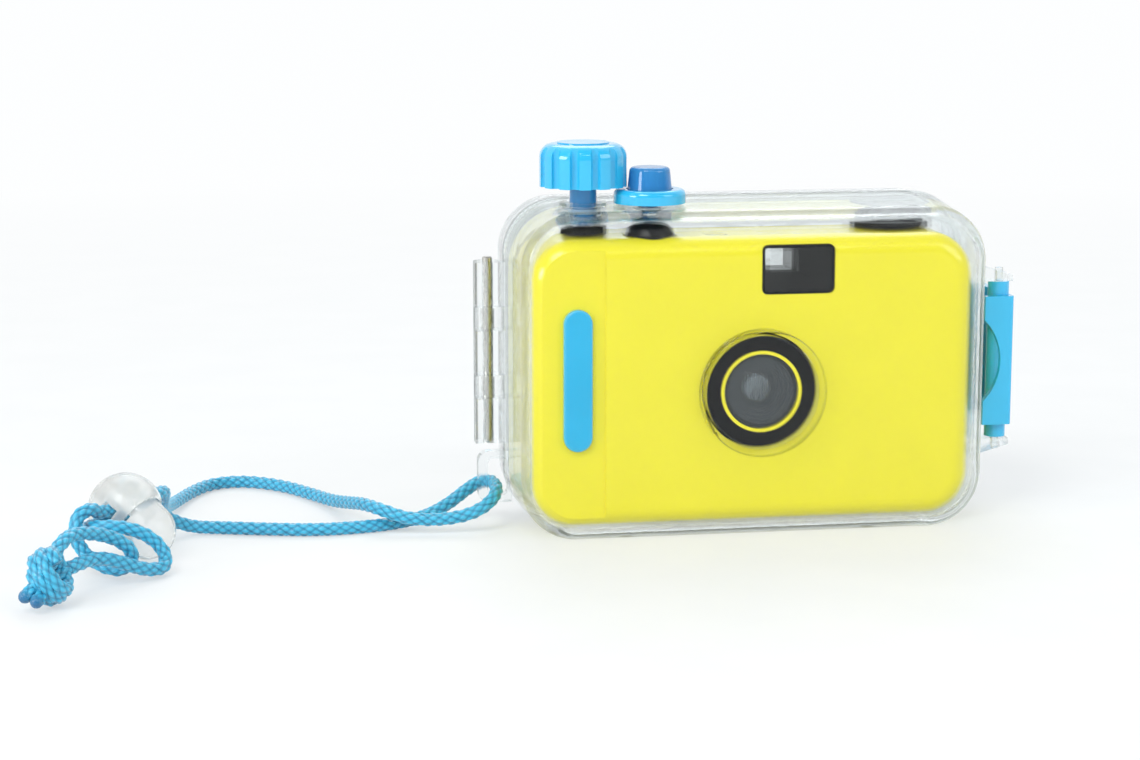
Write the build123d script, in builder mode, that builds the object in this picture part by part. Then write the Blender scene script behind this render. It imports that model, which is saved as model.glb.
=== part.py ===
from build123d import *
import os
from math import pi, radians, tan

# An underwater film camera: a small 35 mm camera shut in a clear hinged waterproof case,
# with a braided wrist cord. Millimetres. X runs to the right as the lens looks at the viewer,
# Y runs from the lens to the film, Z is up, and the origin is under the middle of the camera.

# Camera body
CAMERA_WIDTH = 107.6
CAMERA_HEIGHT = 69.0
CAMERA_DEPTH = 36.0
CAMERA_CORNER = 10.5
COVER_LENGTH = 20.0
COVER_WALL = 1.6
COVER_ROUND = 4.5
CHASSIS_INSET = 1.7
CAMERA_FIT = 0.2

# Room between the camera and its case
SIDE_GAP = 1.6
FOOT_GAP = 0.4
HEAD_GAP = 5.7
FRONT_GAP = 0.8
BACK_GAP = 0.8

# Case shells
CASE_WALL = 2.2
CORNER_GAP = 0.8
CASE_DRAFT = 3.0
FACE_ROUND = 4.0
SEAM_Y = 5.0
SEAM_GAP = 0.1
COVER_LIFT = 0.3
BASE_SKIM = 0.05
LIP_DEPTH = 2.6
LIP_WALL = 1.3
LIP_GAP = 0.35
GASKET_WIDTH = 1.0
GASKET_DEPTH = 1.2
RIB_X = 30.0
RIB_WIDTH = 3.0
RIB_LENGTH = 15.0

# Lens and the port in front of it
LENS_X = 0.9
LENS_Z = 35.0
PORT_RADIUS = 15.3
PORT_RISE = 3.0
PORT_WALL = 1.6
PORT_WINDOW = 2.0
PORT_ROUND = 0.8
BARREL_RADIUS = 13.4
BARREL_PROUD = 1.6
BARREL_GAP = 0.5
BEZEL_RADIUS = 13.1
BEZEL_THICK = 0.6
TRIM_OUTER = 9.8
TRIM_INNER = 9.0
WINDOW_THICK = 0.8
LENS_RADIUS = 4.4
LENS_THICK = 2.6
STOP_RADIUS = 2.8
REAR_LENS_RADIUS = 3.6
BARREL_BACK = -10.2
SHUTTER_ROOM = 1.6

# Viewfinder
FINDER_X = 10.1
FINDER_DROP = 7.8
FINDER_WIDTH = 17.6
FINDER_HEIGHT = 11.6
FINDER_CORNER = 1.5
FINDER_WALL = 0.6
FINDER_LENGTH = 19.0
MASK_WIDTH = 7.2
MASK_HEIGHT = 5.1
EYEPIECE_WIDTH = 10.0
EYEPIECE_HEIGHT = 7.6
PANE_THICK = 1.0

# Blue grip bar and the soft step beside it
BAR_IN = 10.85
BAR_WIDTH = 6.9
BAR_LENGTH = 34.0
BAR_Z = 38.4
BAR_RISE = 1.2
BAR_SINK = 0.8
STEP_EDGE_X = -36.3
STEP_RADIUS = 69.0
STEP_Z = 41.0
STEP_DEPTH = 0.5

# Winding knob
KNOB_IN = 14.1
KNOB_Y = -6.0
KNOB_RADIUS = 10.4
KNOB_HEIGHT = 10.5
KNOB_LIFT = 3.8
KNOB_ROUND = 3.2
KNOB_DISC_RADIUS = 6.2
KNOB_DISC_RISE = 0.3
FLUTES = 13
FLUTE_RADIUS = 1.15
FLUTE_BITE = 1.25
SHAFT_RADIUS = 3.2
SHAFT_FIT = 0.1
GLAND_RADIUS = 5.6
GLAND_RISE = 0.5
SEAL_SECTION = 0.65
WHEEL_RADIUS = 5.5
WHEEL_HEIGHT = 2.4
WHEEL_GAP = 0.3
TONGUE_WIDTH = 1.4
TONGUE_DEPTH = 1.1
SLOT_GAP = 0.3
CLIP_THICK = 0.5
CLIP_RADIUS = 4.6

# Shutter release on the case and the button under it
RELEASE_ASIDE = 15.5
RELEASE_Y = -9.0
BOSS_RADIUS = 7.6
BOSS_RISE = 0.6
COLLAR_RADIUS = 8.6
COLLAR_HEIGHT = 3.3
COLLAR_ROUND = 1.3
PLUNGER_BASE = 5.3
PLUNGER_TOP = 4.75
PLUNGER_RISE = 5.2
PLUNGER_SINK = 1.0
PLUNGER_WALL = 1.1
PLUNGER_GAP = 0.3
STEM_RADIUS = 2.0
STEM_SEAL_SECTION = 0.5
PLUNGER_TRAVEL = 2.0
BUTTON_RADIUS = 6.0
BUTTON_RISE = 4.5
BUTTON_SKIRT = 2.0
BUTTON_GAP = 0.4
BUTTON_TRAVEL = 1.5
STEM_CLEAR = 0.7
SPRING_WIRE = 0.5

# Rewind crank and its shaft
CRANK_IN = 17.3
CRANK_Y = -2.0
CRANK_RADIUS = 9.5
CRANK_THICK = 1.4
CRANK_LIFT = 0.3
CRANK_SHAFT_RADIUS = 2.6
HANDLE_WIDTH = 3.6
HANDLE_THICK = 0.9
HANDLE_KNOB_RADIUS = 1.9

# Case hinge
HINGE_OFFSET = 3.7
HINGE_RADIUS = 3.4
HINGE_LOW = 20.0
LONG_KNUCKLE = 11.0
SHORT_KNUCKLE = 5.7
KNUCKLE_GAP = 0.2
PIN_RADIUS = 1.2
PIN_FIT = 0.1
PIN_PROUD = 1.1

# Strap lug
LUG_REACH = 6.9
LUG_LOW = 6.0
LUG_HEIGHT = 12.6
LUG_THICK = 3.0
LUG_Y = 0.3
LUG_BAR = 2.4
LUG_HOLE_HEIGHT = 9.0
LUG_ROUND = 2.5

# Latch
LATCH_OFFSET = 6.2
LATCH_Y = -6.0
LATCH_LOW = 22.9
LATCH_LENGTH = 31.9
LATCH_WEB = 1.8
LATCH_FLANGE = 1.7
LATCH_FRONT = 4.0
LATCH_OUT = 2.9
LATCH_IN = 4.5
BARREL_STUB = 3.4
LATCH_BARREL = 2.6
LATCH_PIN_RADIUS = 1.0
LATCH_LUG = 3.0
LATCH_LUG_DEPTH = 6.4
NOTCH_LENGTH = 20.2
NOTCH_DEPTH = 4.2
HOOK_DEPTH = 4.4
CATCH_Y = 9.0
CATCH_REACH = 2.6
CATCH_LENGTH = 3.0
CATCH_FALL = 0.6
CATCH_GAP = 0.25
CATCH_HEIGHT = 24.0

# Film path
FILM_Y = 14.4
SPOOL_ROOM = 10.0
SPOOL_RADIUS = 5.6
SPOOL_FLANGE = 8.4
CASSETTE_ROOM = 12.8
ROOM_LOW = 8.0
ROOM_HIGH = 64.0
GATE_WIDTH = 36.0
GATE_HEIGHT = 24.0
SPROCKET_ASIDE = 1.3
SPROCKET_Y = 9.2
SPROCKET_ROOM = 5.8
TOOTH_REACH = 0.9
TEETH = 6
PERFORATION_PITCH = 4.75
PERFORATION_ROW = 14.1
DIAL_X = -8.5
DIAL_Y = -7.5
DIAL_RADIUS = 5.4
DIAL_THICK = 1.0
DOOR_TOP = 57.0
DOOR_LOW = 10.5
DOOR_EDGE = 50.0
DOOR_GAP = 0.3
DOOR_WALL = 1.4
DOOR_PIN_RADIUS = 0.6
DOOR_KNUCKLE = 1.3
PLATE_WIDTH = 46.0
PLATE_HEIGHT = 34.0
PLATE_THICK = 1.0
LEAF_THICK = 0.3
RELEASE_BUTTON_RADIUS = 2.0
RELEASE_BUTTON_TRAVEL = 1.0
AXLE_RADIUS = 1.5
AXLE_LENGTH = 2.0
BLADE_ARM = 8.0
BLADE_RADIUS = 4.2
BLADE_THICK = 0.4
BLADE_HUB = 1.8
BLADE_PIN_RADIUS = 0.7
EAR_LOW = 12.5
EAR_HEIGHT = 3.0
SCREW_OUTER_X = 44.0
SCREW_INNER_X = 27.0
SCREW_RADIUS = 0.9
SCREW_HEAD = 0.9
SCREW_LENGTH = 5.0

# Wrist cord, its spring lock and its knot
CORD_RADIUS = 1.65
ARC_SHARE = 0.45
LOCK_RADIUS = 8.6
LOCK_CUT = 4.0
LOCK_BUTTON_RADIUS = 6.6
LOCK_BUTTON_LENGTH = 9.4
LOCK_NECK_RADIUS = 5.1
LOCK_NECK = 1.3
LOCK_FIT = 0.3
LOCK_TRAVEL = 2.3
LOCK_WINDOW = 1.9
LOCK_WINDOW_SIDE = 3.7
LOCK_SPRING_WIRE = 0.45
LOCK_SPRING_RADIUS = 2.7
LOCK_SPRING_LENGTH = 4.2
KNOT_X = -165.0
KNOT_Y = -59.0
KNOT_RADIUS = 6.3
KNOT_WRAP_STEP = 2.9
KNOT_WRAP_SHRINK = 0.9
KNOT_TAIL = 7.0
KNOT_TAIL_SIDE = 1.4
KNOT_TAIL_WAY = (-0.66, -0.62, -0.42)

# Places that follow from the sizes above
CASE_WIDTH = CAMERA_WIDTH + 2 * (SIDE_GAP + CASE_WALL)
CASE_CORNER = CAMERA_CORNER + CASE_WALL + CORNER_GAP
CASE_HEIGHT = CAMERA_HEIGHT + FOOT_GAP + HEAD_GAP + 2 * CASE_WALL
CAMERA_FRONT = -CAMERA_DEPTH / 2
CAMERA_BACK = CAMERA_DEPTH / 2
CAMERA_FLOOR = CASE_WALL + FOOT_GAP
CAMERA_TOP = CAMERA_FLOOR + CAMERA_HEIGHT
CAMERA_MIDDLE = CAMERA_FLOOR + CAMERA_HEIGHT / 2
CASE_FRONT = CAMERA_FRONT - FRONT_GAP - CASE_WALL
CASE_BACK = CAMERA_BACK + BACK_GAP + CASE_WALL
COVER_BACK = CAMERA_FRONT + COVER_LENGTH
FINDER_Z = CAMERA_TOP - FINDER_DROP
KNOB_X = KNOB_IN - CAMERA_WIDTH / 2
RELEASE_X = KNOB_X + RELEASE_ASIDE
CRANK_X = CAMERA_WIDTH / 2 - CRANK_IN
BAR_X = BAR_IN - CAMERA_WIDTH / 2
SPROCKET_X = LENS_X - PLATE_WIDTH / 2 - SPROCKET_ASIDE
HINGE_X = -CASE_WIDTH / 2 - HINGE_OFFSET
LATCH_X = CASE_WIDTH / 2 + LATCH_OFFSET
SLOPE = tan(radians(CASE_DRAFT))
SPROCKET_RADIUS = TEETH * PERFORATION_PITCH / (2 * pi)


def case_top(y):
    """Height of the case's top surface at depth y: it falls away from the seam."""
    return CASE_HEIGHT - abs(y - SEAM_Y) * SLOPE


def case_side(y):
    """Distance from the middle to the case's side at depth y."""
    return CASE_WIDTH / 2 - abs(y - SEAM_Y) * SLOPE


def upright(y):
    """A sketch plane across the depth, with X to the right and Z up."""
    return Plane.XZ.offset(-y)


def case_section(y, inset, lift):
    """The case's outline at depth y, drawn in by inset and raised by lift."""
    side = case_side(y) - inset
    top = case_top(y) - inset
    bottom = inset + lift
    with BuildSketch(upright(y)) as section:
        with Locations((0, (top + bottom) / 2)):
            RectangleRounded(2 * side, top - bottom, CASE_CORNER - inset)
    return section.sketch


def case_block(start, end, inset, lift):
    """A drafted block with a rounded end, from one depth to another."""
    with BuildPart() as block:
        loft(sections=[case_section(start, inset, lift), case_section(end, inset, lift)])
        far_face = block.faces().sort_by(Axis.Y)[0 if end < start else -1]
        fillet(far_face.edges(), FACE_ROUND - inset)
    return block.part


def camera_block(start, end, inset, rounding):
    """A rounded block of the camera between two depths, drawn in by inset, round at its end."""
    with BuildPart() as block:
        with BuildSketch(upright(start)):
            with Locations((0, CAMERA_MIDDLE)):
                RectangleRounded(
                    CAMERA_WIDTH - 2 * inset, CAMERA_HEIGHT - 2 * inset, CAMERA_CORNER - inset
                )
        extrude(amount=start - end)
        far_face = block.faces().sort_by(Axis.Y)[0 if end < start else -1]
        fillet(far_face.edges(), rounding)
    return block.part


def cap_height(radius, rise, reach):
    """Height of a spherical cap of a given rim radius and rise, at a distance from its middle."""
    sphere = (radius**2 + rise**2) / (2 * rise)
    return rise - sphere + (sphere**2 - reach**2) ** 0.5


def drum(x, y, low, high, radius):
    """An upright cylinder."""
    with BuildPart() as piece:
        with BuildSketch(Plane.XY.offset(low)):
            with Locations((x, y)):
                Circle(radius)
        extrude(amount=high - low)
    return piece.part


def lens_drum(front, back, radius):
    """A cylinder on the lens axis between two depths."""
    with BuildPart() as piece:
        with BuildSketch(upright(back)):
            with Locations((LENS_X, LENS_Z)):
                Circle(radius)
        extrude(amount=back - front)
    return piece.part


def block_at(x, y, z):
    """A box between two values on each axis."""
    middle = ((x[0] + x[1]) / 2, (y[0] + y[1]) / 2, (z[0] + z[1]) / 2)
    with BuildPart() as piece:
        with Locations(middle):
            Box(x[1] - x[0], y[1] - y[0], z[1] - z[0])
    return piece.part


def knuckle_bands():
    """Low and high ends of the five hinge knuckles, the long ones first, third and fifth."""
    bands = []
    low = HINGE_LOW
    for length in (LONG_KNUCKLE, SHORT_KNUCKLE, LONG_KNUCKLE, SHORT_KNUCKLE, LONG_KNUCKLE):
        bands.append((low + KNUCKLE_GAP / 2, low + length - KNUCKLE_GAP / 2))
        low += length
    return bands


BANDS = knuckle_bands()
HINGE_TOP = BANDS[-1][1]


def knuckle(low, high, side):
    """One knuckle with its leaf, square in front on the front shell (side -1), round on the cover (side 1)."""
    near = SEAM_Y + side * SEAM_GAP
    far = SEAM_Y + side * HINGE_RADIUS
    root = -CASE_WIDTH / 2 + CASE_WALL / 2
    with BuildPart() as piece:
        with BuildSketch(Plane.XY.offset(low)):
            with Locations((HINGE_X, SEAM_Y)):
                Circle(HINGE_RADIUS)
            if side < 0:
                with Locations((HINGE_X, SEAM_Y - HINGE_RADIUS / 2)):
                    Rectangle(2 * HINGE_RADIUS, HINGE_RADIUS)
            with Locations(((HINGE_X + root) / 2, (near + far) / 2)):
                Rectangle(root - HINGE_X, abs(far - near))
            with Locations((HINGE_X, SEAM_Y)):
                Circle(PIN_RADIUS + PIN_FIT, mode=Mode.SUBTRACT)
        extrude(amount=high - low)
    return piece.part


def save(piece, name):
    """Label a finished piece and write it to its own file."""
    piece.label = name
    export_step(piece, f"parts/{name}.step")


os.makedirs("parts", exist_ok=True)

# Front shell of the case, with its lens port, glands, hinge knuckles, strap lug and latch lugs
GLAND_LOW = CAMERA_TOP + WHEEL_GAP + WHEEL_HEIGHT + SLOT_GAP + CLIP_THICK + SLOT_GAP
GLAND_TOP = case_top(KNOB_Y) + GLAND_RISE
BOSS_TOP = case_top(RELEASE_Y) + BOSS_RISE
SEAL_LEVEL = (GLAND_LOW + GLAND_TOP) / 2
STEM_SEAL_LEVEL = (case_top(RELEASE_Y) - CASE_WALL + BOSS_TOP) / 2
PORT_FRONT = CASE_FRONT - PORT_RISE

with BuildPart() as case_front_shell:
    add(case_block(SEAM_Y, CASE_FRONT, 0, -BASE_SKIM))
    under_case = ((-CASE_WIDTH, CASE_WIDTH), (2 * CASE_FRONT, 2 * SEAM_Y), (-CASE_WALL, 0))
    add(block_at(*under_case), mode=Mode.SUBTRACT)
    with BuildSketch(upright(CASE_FRONT + CASE_WALL / 2)):
        with Locations((LENS_X, LENS_Z)):
            Circle(PORT_RADIUS)
    extrude(amount=PORT_RISE + CASE_WALL / 2)
    fillet(case_front_shell.faces().sort_by(Axis.Y)[0].edges(), PORT_ROUND)
    add(case_block(SEAM_Y, CASE_FRONT + CASE_WALL, CASE_WALL, 0), mode=Mode.SUBTRACT)
    with BuildSketch(upright(CASE_FRONT + CASE_WALL)):
        with Locations((LENS_X, LENS_Z)):
            Circle(PORT_RADIUS - PORT_WALL)
    extrude(amount=CASE_WALL + PORT_RISE - PORT_WINDOW, mode=Mode.SUBTRACT)
    with BuildSketch(Plane.XY.offset(GLAND_LOW)):
        with Locations((KNOB_X, KNOB_Y)):
            Circle(GLAND_RADIUS)
    extrude(amount=GLAND_TOP - GLAND_LOW)
    with BuildSketch(Plane.XY.offset(BOSS_TOP)):
        with Locations((RELEASE_X, RELEASE_Y)):
            Circle(BOSS_RADIUS)
    extrude(amount=-BOSS_RISE - CASE_WALL / 2)
    with BuildSketch(Plane.XY.offset(GLAND_LOW)):
        with Locations((KNOB_X, KNOB_Y)):
            Circle(SHAFT_RADIUS + SHAFT_FIT)
    extrude(amount=GLAND_TOP - GLAND_LOW, mode=Mode.SUBTRACT)
    with BuildSketch(Plane.XY.offset(SEAL_LEVEL - SEAL_SECTION)):
        with Locations((KNOB_X, KNOB_Y)):
            Circle(SHAFT_RADIUS + SHAFT_FIT + 2 * SEAL_SECTION)
    extrude(amount=2 * SEAL_SECTION, mode=Mode.SUBTRACT)
    with BuildSketch(Plane.XY.offset(BOSS_TOP)):
        with Locations((RELEASE_X, RELEASE_Y)):
            Circle(STEM_RADIUS + SHAFT_FIT)
    extrude(amount=-2 * CASE_WALL, mode=Mode.SUBTRACT)
    with BuildSketch(Plane.XY.offset(STEM_SEAL_LEVEL - STEM_SEAL_SECTION)):
        with Locations((RELEASE_X, RELEASE_Y)):
            Circle(STEM_RADIUS + SHAFT_FIT + 2 * STEM_SEAL_SECTION)
    extrude(amount=2 * STEM_SEAL_SECTION, mode=Mode.SUBTRACT)
    with BuildSketch(upright(SEAM_Y)):
        add(case_section(SEAM_Y, CASE_WALL - GASKET_WIDTH, 0))
    extrude(amount=GASKET_DEPTH, mode=Mode.SUBTRACT)
    for band in (BANDS[0], BANDS[2], BANDS[4]):
        add(knuckle(band[0], band[1], -1))
    lug_root = -case_side(LUG_Y) + CASE_WALL / 2
    lug_edge = -CASE_WIDTH / 2 - LUG_REACH
    hole_width = -case_side(LUG_Y) - lug_edge - LUG_BAR
    with BuildSketch(upright(LUG_Y + LUG_THICK / 2)) as lug:
        with Locations(((lug_root + lug_edge) / 2, LUG_LOW + LUG_HEIGHT / 2)):
            Rectangle(lug_root - lug_edge, LUG_HEIGHT)
        fillet(lug.vertices().sort_by(Axis.X)[:2], LUG_ROUND)
        with Locations((lug_edge + LUG_BAR + hole_width / 2, LUG_LOW + LUG_HEIGHT / 2)):
            RectangleRounded(hole_width, LUG_HOLE_HEIGHT, LUG_BAR / 2, mode=Mode.SUBTRACT)
    extrude(amount=LUG_THICK)
    latch_root = case_side(LATCH_Y - LATCH_LUG_DEPTH / 2) - CASE_WALL / 2
    stub_low = LATCH_LOW - BARREL_STUB - KNUCKLE_GAP
    stub_high = LATCH_LOW + LATCH_LENGTH + BARREL_STUB + KNUCKLE_GAP
    lug_tip = LATCH_X + LATCH_BARREL
    with BuildSketch(upright(LATCH_Y + LATCH_LUG_DEPTH / 2)):
        for level, way in ((stub_low, -1), (stub_high, 1)):
            with BuildLine():
                Polyline(
                    (latch_root, level),
                    (lug_tip, level),
                    (lug_tip, level + way * LATCH_LUG / 2),
                    (latch_root, level + way * 1.5 * LATCH_LUG),
                    close=True,
                )
            make_face()
    extrude(amount=LATCH_LUG_DEPTH)
    with BuildSketch(Plane.XY.offset(stub_low - LATCH_LUG * 2)):
        with Locations((LATCH_X, LATCH_Y)):
            Circle(LATCH_PIN_RADIUS + PIN_FIT)
    extrude(amount=stub_high - stub_low + 4 * LATCH_LUG, mode=Mode.SUBTRACT)
    for side in (-1, 1):
        with BuildSketch(Plane.XY.offset(CASE_WALL / 2)):
            with Locations((side * RIB_X, CAMERA_FRONT + COVER_ROUND + RIB_LENGTH / 2)):
                Rectangle(RIB_WIDTH, RIB_LENGTH)
        extrude(amount=CAMERA_FLOOR - CASE_WALL / 2)
save(case_front_shell.part, "case_front_shell")

# Back cover of the case: a drafted shell with a lip that goes inside the front shell
LIP_INSET = CASE_WALL + LIP_GAP

with BuildPart() as case_back_cover:
    add(case_block(SEAM_Y, CASE_BACK, 0, COVER_LIFT))
    add(case_block(SEAM_Y, CASE_BACK - CASE_WALL, CASE_WALL, 0), mode=Mode.SUBTRACT)
    with BuildSketch(upright(SEAM_Y)):
        Rectangle(2 * CASE_WIDTH, 4 * CASE_HEIGHT)
    extrude(amount=-SEAM_GAP, mode=Mode.SUBTRACT)
    with BuildSketch(upright(SEAM_Y + CASE_WALL)):
        add(case_section(SEAM_Y, LIP_INSET, 0))
        add(case_section(SEAM_Y, LIP_INSET + LIP_WALL, 0), mode=Mode.SUBTRACT)
    extrude(amount=CASE_WALL + LIP_DEPTH)
    with BuildSketch(upright(SEAM_Y + CASE_WALL + LIP_WALL)):
        add(case_section(SEAM_Y, CASE_WALL / 2, COVER_LIFT))
        add(case_section(SEAM_Y, LIP_INSET + LIP_WALL, 0), mode=Mode.SUBTRACT)
    extrude(amount=LIP_WALL)
    for band in (BANDS[1], BANDS[3]):
        add(knuckle(band[0], band[1], 1))
    catch_root = case_side(CATCH_Y + CATCH_LENGTH) - CASE_WALL / 2
    catch_tip = CASE_WIDTH / 2 + CATCH_REACH
    with BuildSketch(Plane.XY.offset(LATCH_LOW + LATCH_LENGTH / 2 - CATCH_HEIGHT / 2)):
        with BuildLine():
            Polyline(
                (catch_root, CATCH_Y - CATCH_REACH),
                (catch_tip, CATCH_Y - CATCH_FALL),
                (catch_tip, CATCH_Y),
                (catch_tip - CATCH_FALL, CATCH_Y + CATCH_LENGTH),
                (catch_root, CATCH_Y + CATCH_LENGTH),
                close=True,
            )
        make_face()
    extrude(amount=CATCH_HEIGHT)
save(case_back_cover.part, "case_back_cover")

# Rubber gasket in the rebate of the front shell
with BuildPart() as case_gasket:
    with BuildSketch(upright(SEAM_Y)):
        add(case_section(SEAM_Y, CASE_WALL - GASKET_WIDTH, 0))
        add(case_section(SEAM_Y, CASE_WALL, 0), mode=Mode.SUBTRACT)
    extrude(amount=GASKET_DEPTH)
save(case_gasket.part, "case_gasket")

# Steel pin of the case hinge
with BuildPart() as hinge_pin:
    with BuildSketch(Plane.XY.offset(HINGE_LOW)):
        with Locations((HINGE_X, SEAM_Y)):
            Circle(PIN_RADIUS)
    extrude(amount=HINGE_TOP + PIN_PROUD - HINGE_LOW)
    chamfer(hinge_pin.edges().filter_by(GeomType.CIRCLE), PIN_RADIUS / 4)
save(hinge_pin.part, "hinge_pin")

# Winding knob, its shaft, seal and clip
KNOB_LOW = GLAND_TOP + KNOB_LIFT
SHAFT_LOW = CAMERA_TOP + WHEEL_GAP + WHEEL_HEIGHT + SLOT_GAP

with BuildPart() as winding_knob:
    with BuildSketch(Plane.XY.offset(KNOB_LOW)):
        with Locations((KNOB_X, KNOB_Y)):
            Circle(KNOB_RADIUS)
    extrude(amount=KNOB_HEIGHT - KNOB_DISC_RISE)
    fillet(winding_knob.faces().sort_by(Axis.Z)[-1].edges(), KNOB_ROUND)
    with BuildSketch(Plane.XY.offset(KNOB_LOW)):
        with Locations((KNOB_X, KNOB_Y)):
            with PolarLocations(KNOB_RADIUS + FLUTE_RADIUS - FLUTE_BITE, FLUTES):
                Circle(FLUTE_RADIUS)
    extrude(amount=KNOB_HEIGHT, mode=Mode.SUBTRACT)
    with BuildSketch(Plane.XY.offset(KNOB_LOW + KNOB_HEIGHT - 2 * KNOB_DISC_RISE)):
        with Locations((KNOB_X, KNOB_Y)):
            Circle(KNOB_DISC_RADIUS)
    extrude(amount=2 * KNOB_DISC_RISE)
save(winding_knob.part, "winding_knob")

with BuildPart() as winding_shaft:
    with BuildSketch(Plane.XY.offset(SHAFT_LOW)):
        with Locations((KNOB_X, KNOB_Y)):
            Circle(SHAFT_RADIUS)
    extrude(amount=KNOB_LOW - SHAFT_LOW)
    with BuildSketch(Plane.XY.offset(SHAFT_LOW)):
        with Locations((KNOB_X, KNOB_Y)):
            Rectangle(2 * SHAFT_RADIUS - 1, TONGUE_WIDTH)
    extrude(amount=-TONGUE_DEPTH - SLOT_GAP)
save(winding_shaft.part, "winding_shaft")

with BuildPart() as winding_seal:
    with BuildSketch(Plane.XZ):
        with Locations((SHAFT_RADIUS + SHAFT_FIT + SEAL_SECTION, SEAL_LEVEL)):
            Circle(SEAL_SECTION)
    revolve(axis=Axis.Z)
save(Pos(KNOB_X, KNOB_Y, 0) * winding_seal.part, "winding_seal")

with BuildPart() as winding_clip:
    with BuildSketch(Plane.XY.offset(GLAND_LOW - SLOT_GAP - CLIP_THICK)):
        with Locations((KNOB_X, KNOB_Y)):
            Circle(CLIP_RADIUS)
            Circle(SHAFT_RADIUS, mode=Mode.SUBTRACT)
    extrude(amount=CLIP_THICK)
save(winding_clip.part, "winding_clip")

# Shutter release: collar, plunger with its stem, seal and return spring
COLLAR_TOP = BOSS_TOP + COLLAR_HEIGHT
PLUNGER_LOW = COLLAR_TOP - PLUNGER_SINK
PLUNGER_HIGH = COLLAR_TOP + PLUNGER_RISE
BUTTON_HIGH = CAMERA_TOP + BUTTON_RISE
STEM_LOW = BUTTON_HIGH + STEM_CLEAR

with BuildPart() as shutter_collar:
    with BuildSketch(Plane.XY.offset(BOSS_TOP)):
        with Locations((RELEASE_X, RELEASE_Y)):
            Circle(COLLAR_RADIUS)
    extrude(amount=COLLAR_HEIGHT)
    fillet(shutter_collar.faces().sort_by(Axis.Z)[-1].edges(), COLLAR_ROUND)
    with BuildSketch(Plane.XY.offset(BOSS_TOP)):
        with Locations((RELEASE_X, RELEASE_Y)):
            Circle(PLUNGER_BASE + PLUNGER_GAP)
    extrude(amount=COLLAR_HEIGHT, mode=Mode.SUBTRACT)
save(shutter_collar.part, "shutter_collar")

with BuildPart() as shutter_plunger:
    with BuildSketch(Plane.XZ):
        with BuildLine():
            Polyline(
                (0, STEM_LOW),
                (STEM_RADIUS, STEM_LOW),
                (STEM_RADIUS, PLUNGER_HIGH - 2 * PLUNGER_WALL),
                (PLUNGER_TOP - PLUNGER_WALL, PLUNGER_HIGH - 2 * PLUNGER_WALL),
                (PLUNGER_BASE - PLUNGER_WALL, PLUNGER_LOW),
                (PLUNGER_BASE, PLUNGER_LOW),
                (PLUNGER_BASE, COLLAR_TOP),
                (PLUNGER_TOP, PLUNGER_HIGH),
                (0, PLUNGER_HIGH),
                close=True,
            )
        make_face()
    revolve(axis=Axis.Z)
    fillet(shutter_plunger.faces().sort_by(Axis.Z)[-1].edges(), PLUNGER_WALL)
save(Pos(RELEASE_X, RELEASE_Y, 0) * shutter_plunger.part, "shutter_plunger")

with BuildPart() as shutter_seal:
    with BuildSketch(Plane.XZ):
        with Locations((STEM_RADIUS + SHAFT_FIT + STEM_SEAL_SECTION, STEM_SEAL_LEVEL)):
            Circle(STEM_SEAL_SECTION)
    revolve(axis=Axis.Z)
save(Pos(RELEASE_X, RELEASE_Y, 0) * shutter_seal.part, "shutter_seal")


def coil_spring(radius, wire, length, turns):
    """A coil spring that stands on the origin along Z."""
    with BuildPart() as spring:
        with BuildLine():
            Helix(pitch=(length - wire) / turns, height=length - wire, radius=radius, center=(0, 0, wire / 2))
        with BuildSketch(Plane(origin=(radius, 0, wire / 2), z_dir=(0, 1, 0))):
            Circle(wire / 2)
        sweep(is_frenet=True)
    return spring.part


release_spring = coil_spring(
    PLUNGER_TOP - PLUNGER_WALL - SPRING_WIRE,
    SPRING_WIRE,
    PLUNGER_HIGH - 2 * PLUNGER_WALL - BOSS_TOP - SHAFT_FIT,
    5,
)
save(Pos(RELEASE_X, RELEASE_Y, BOSS_TOP) * release_spring, "shutter_return_spring")

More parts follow.
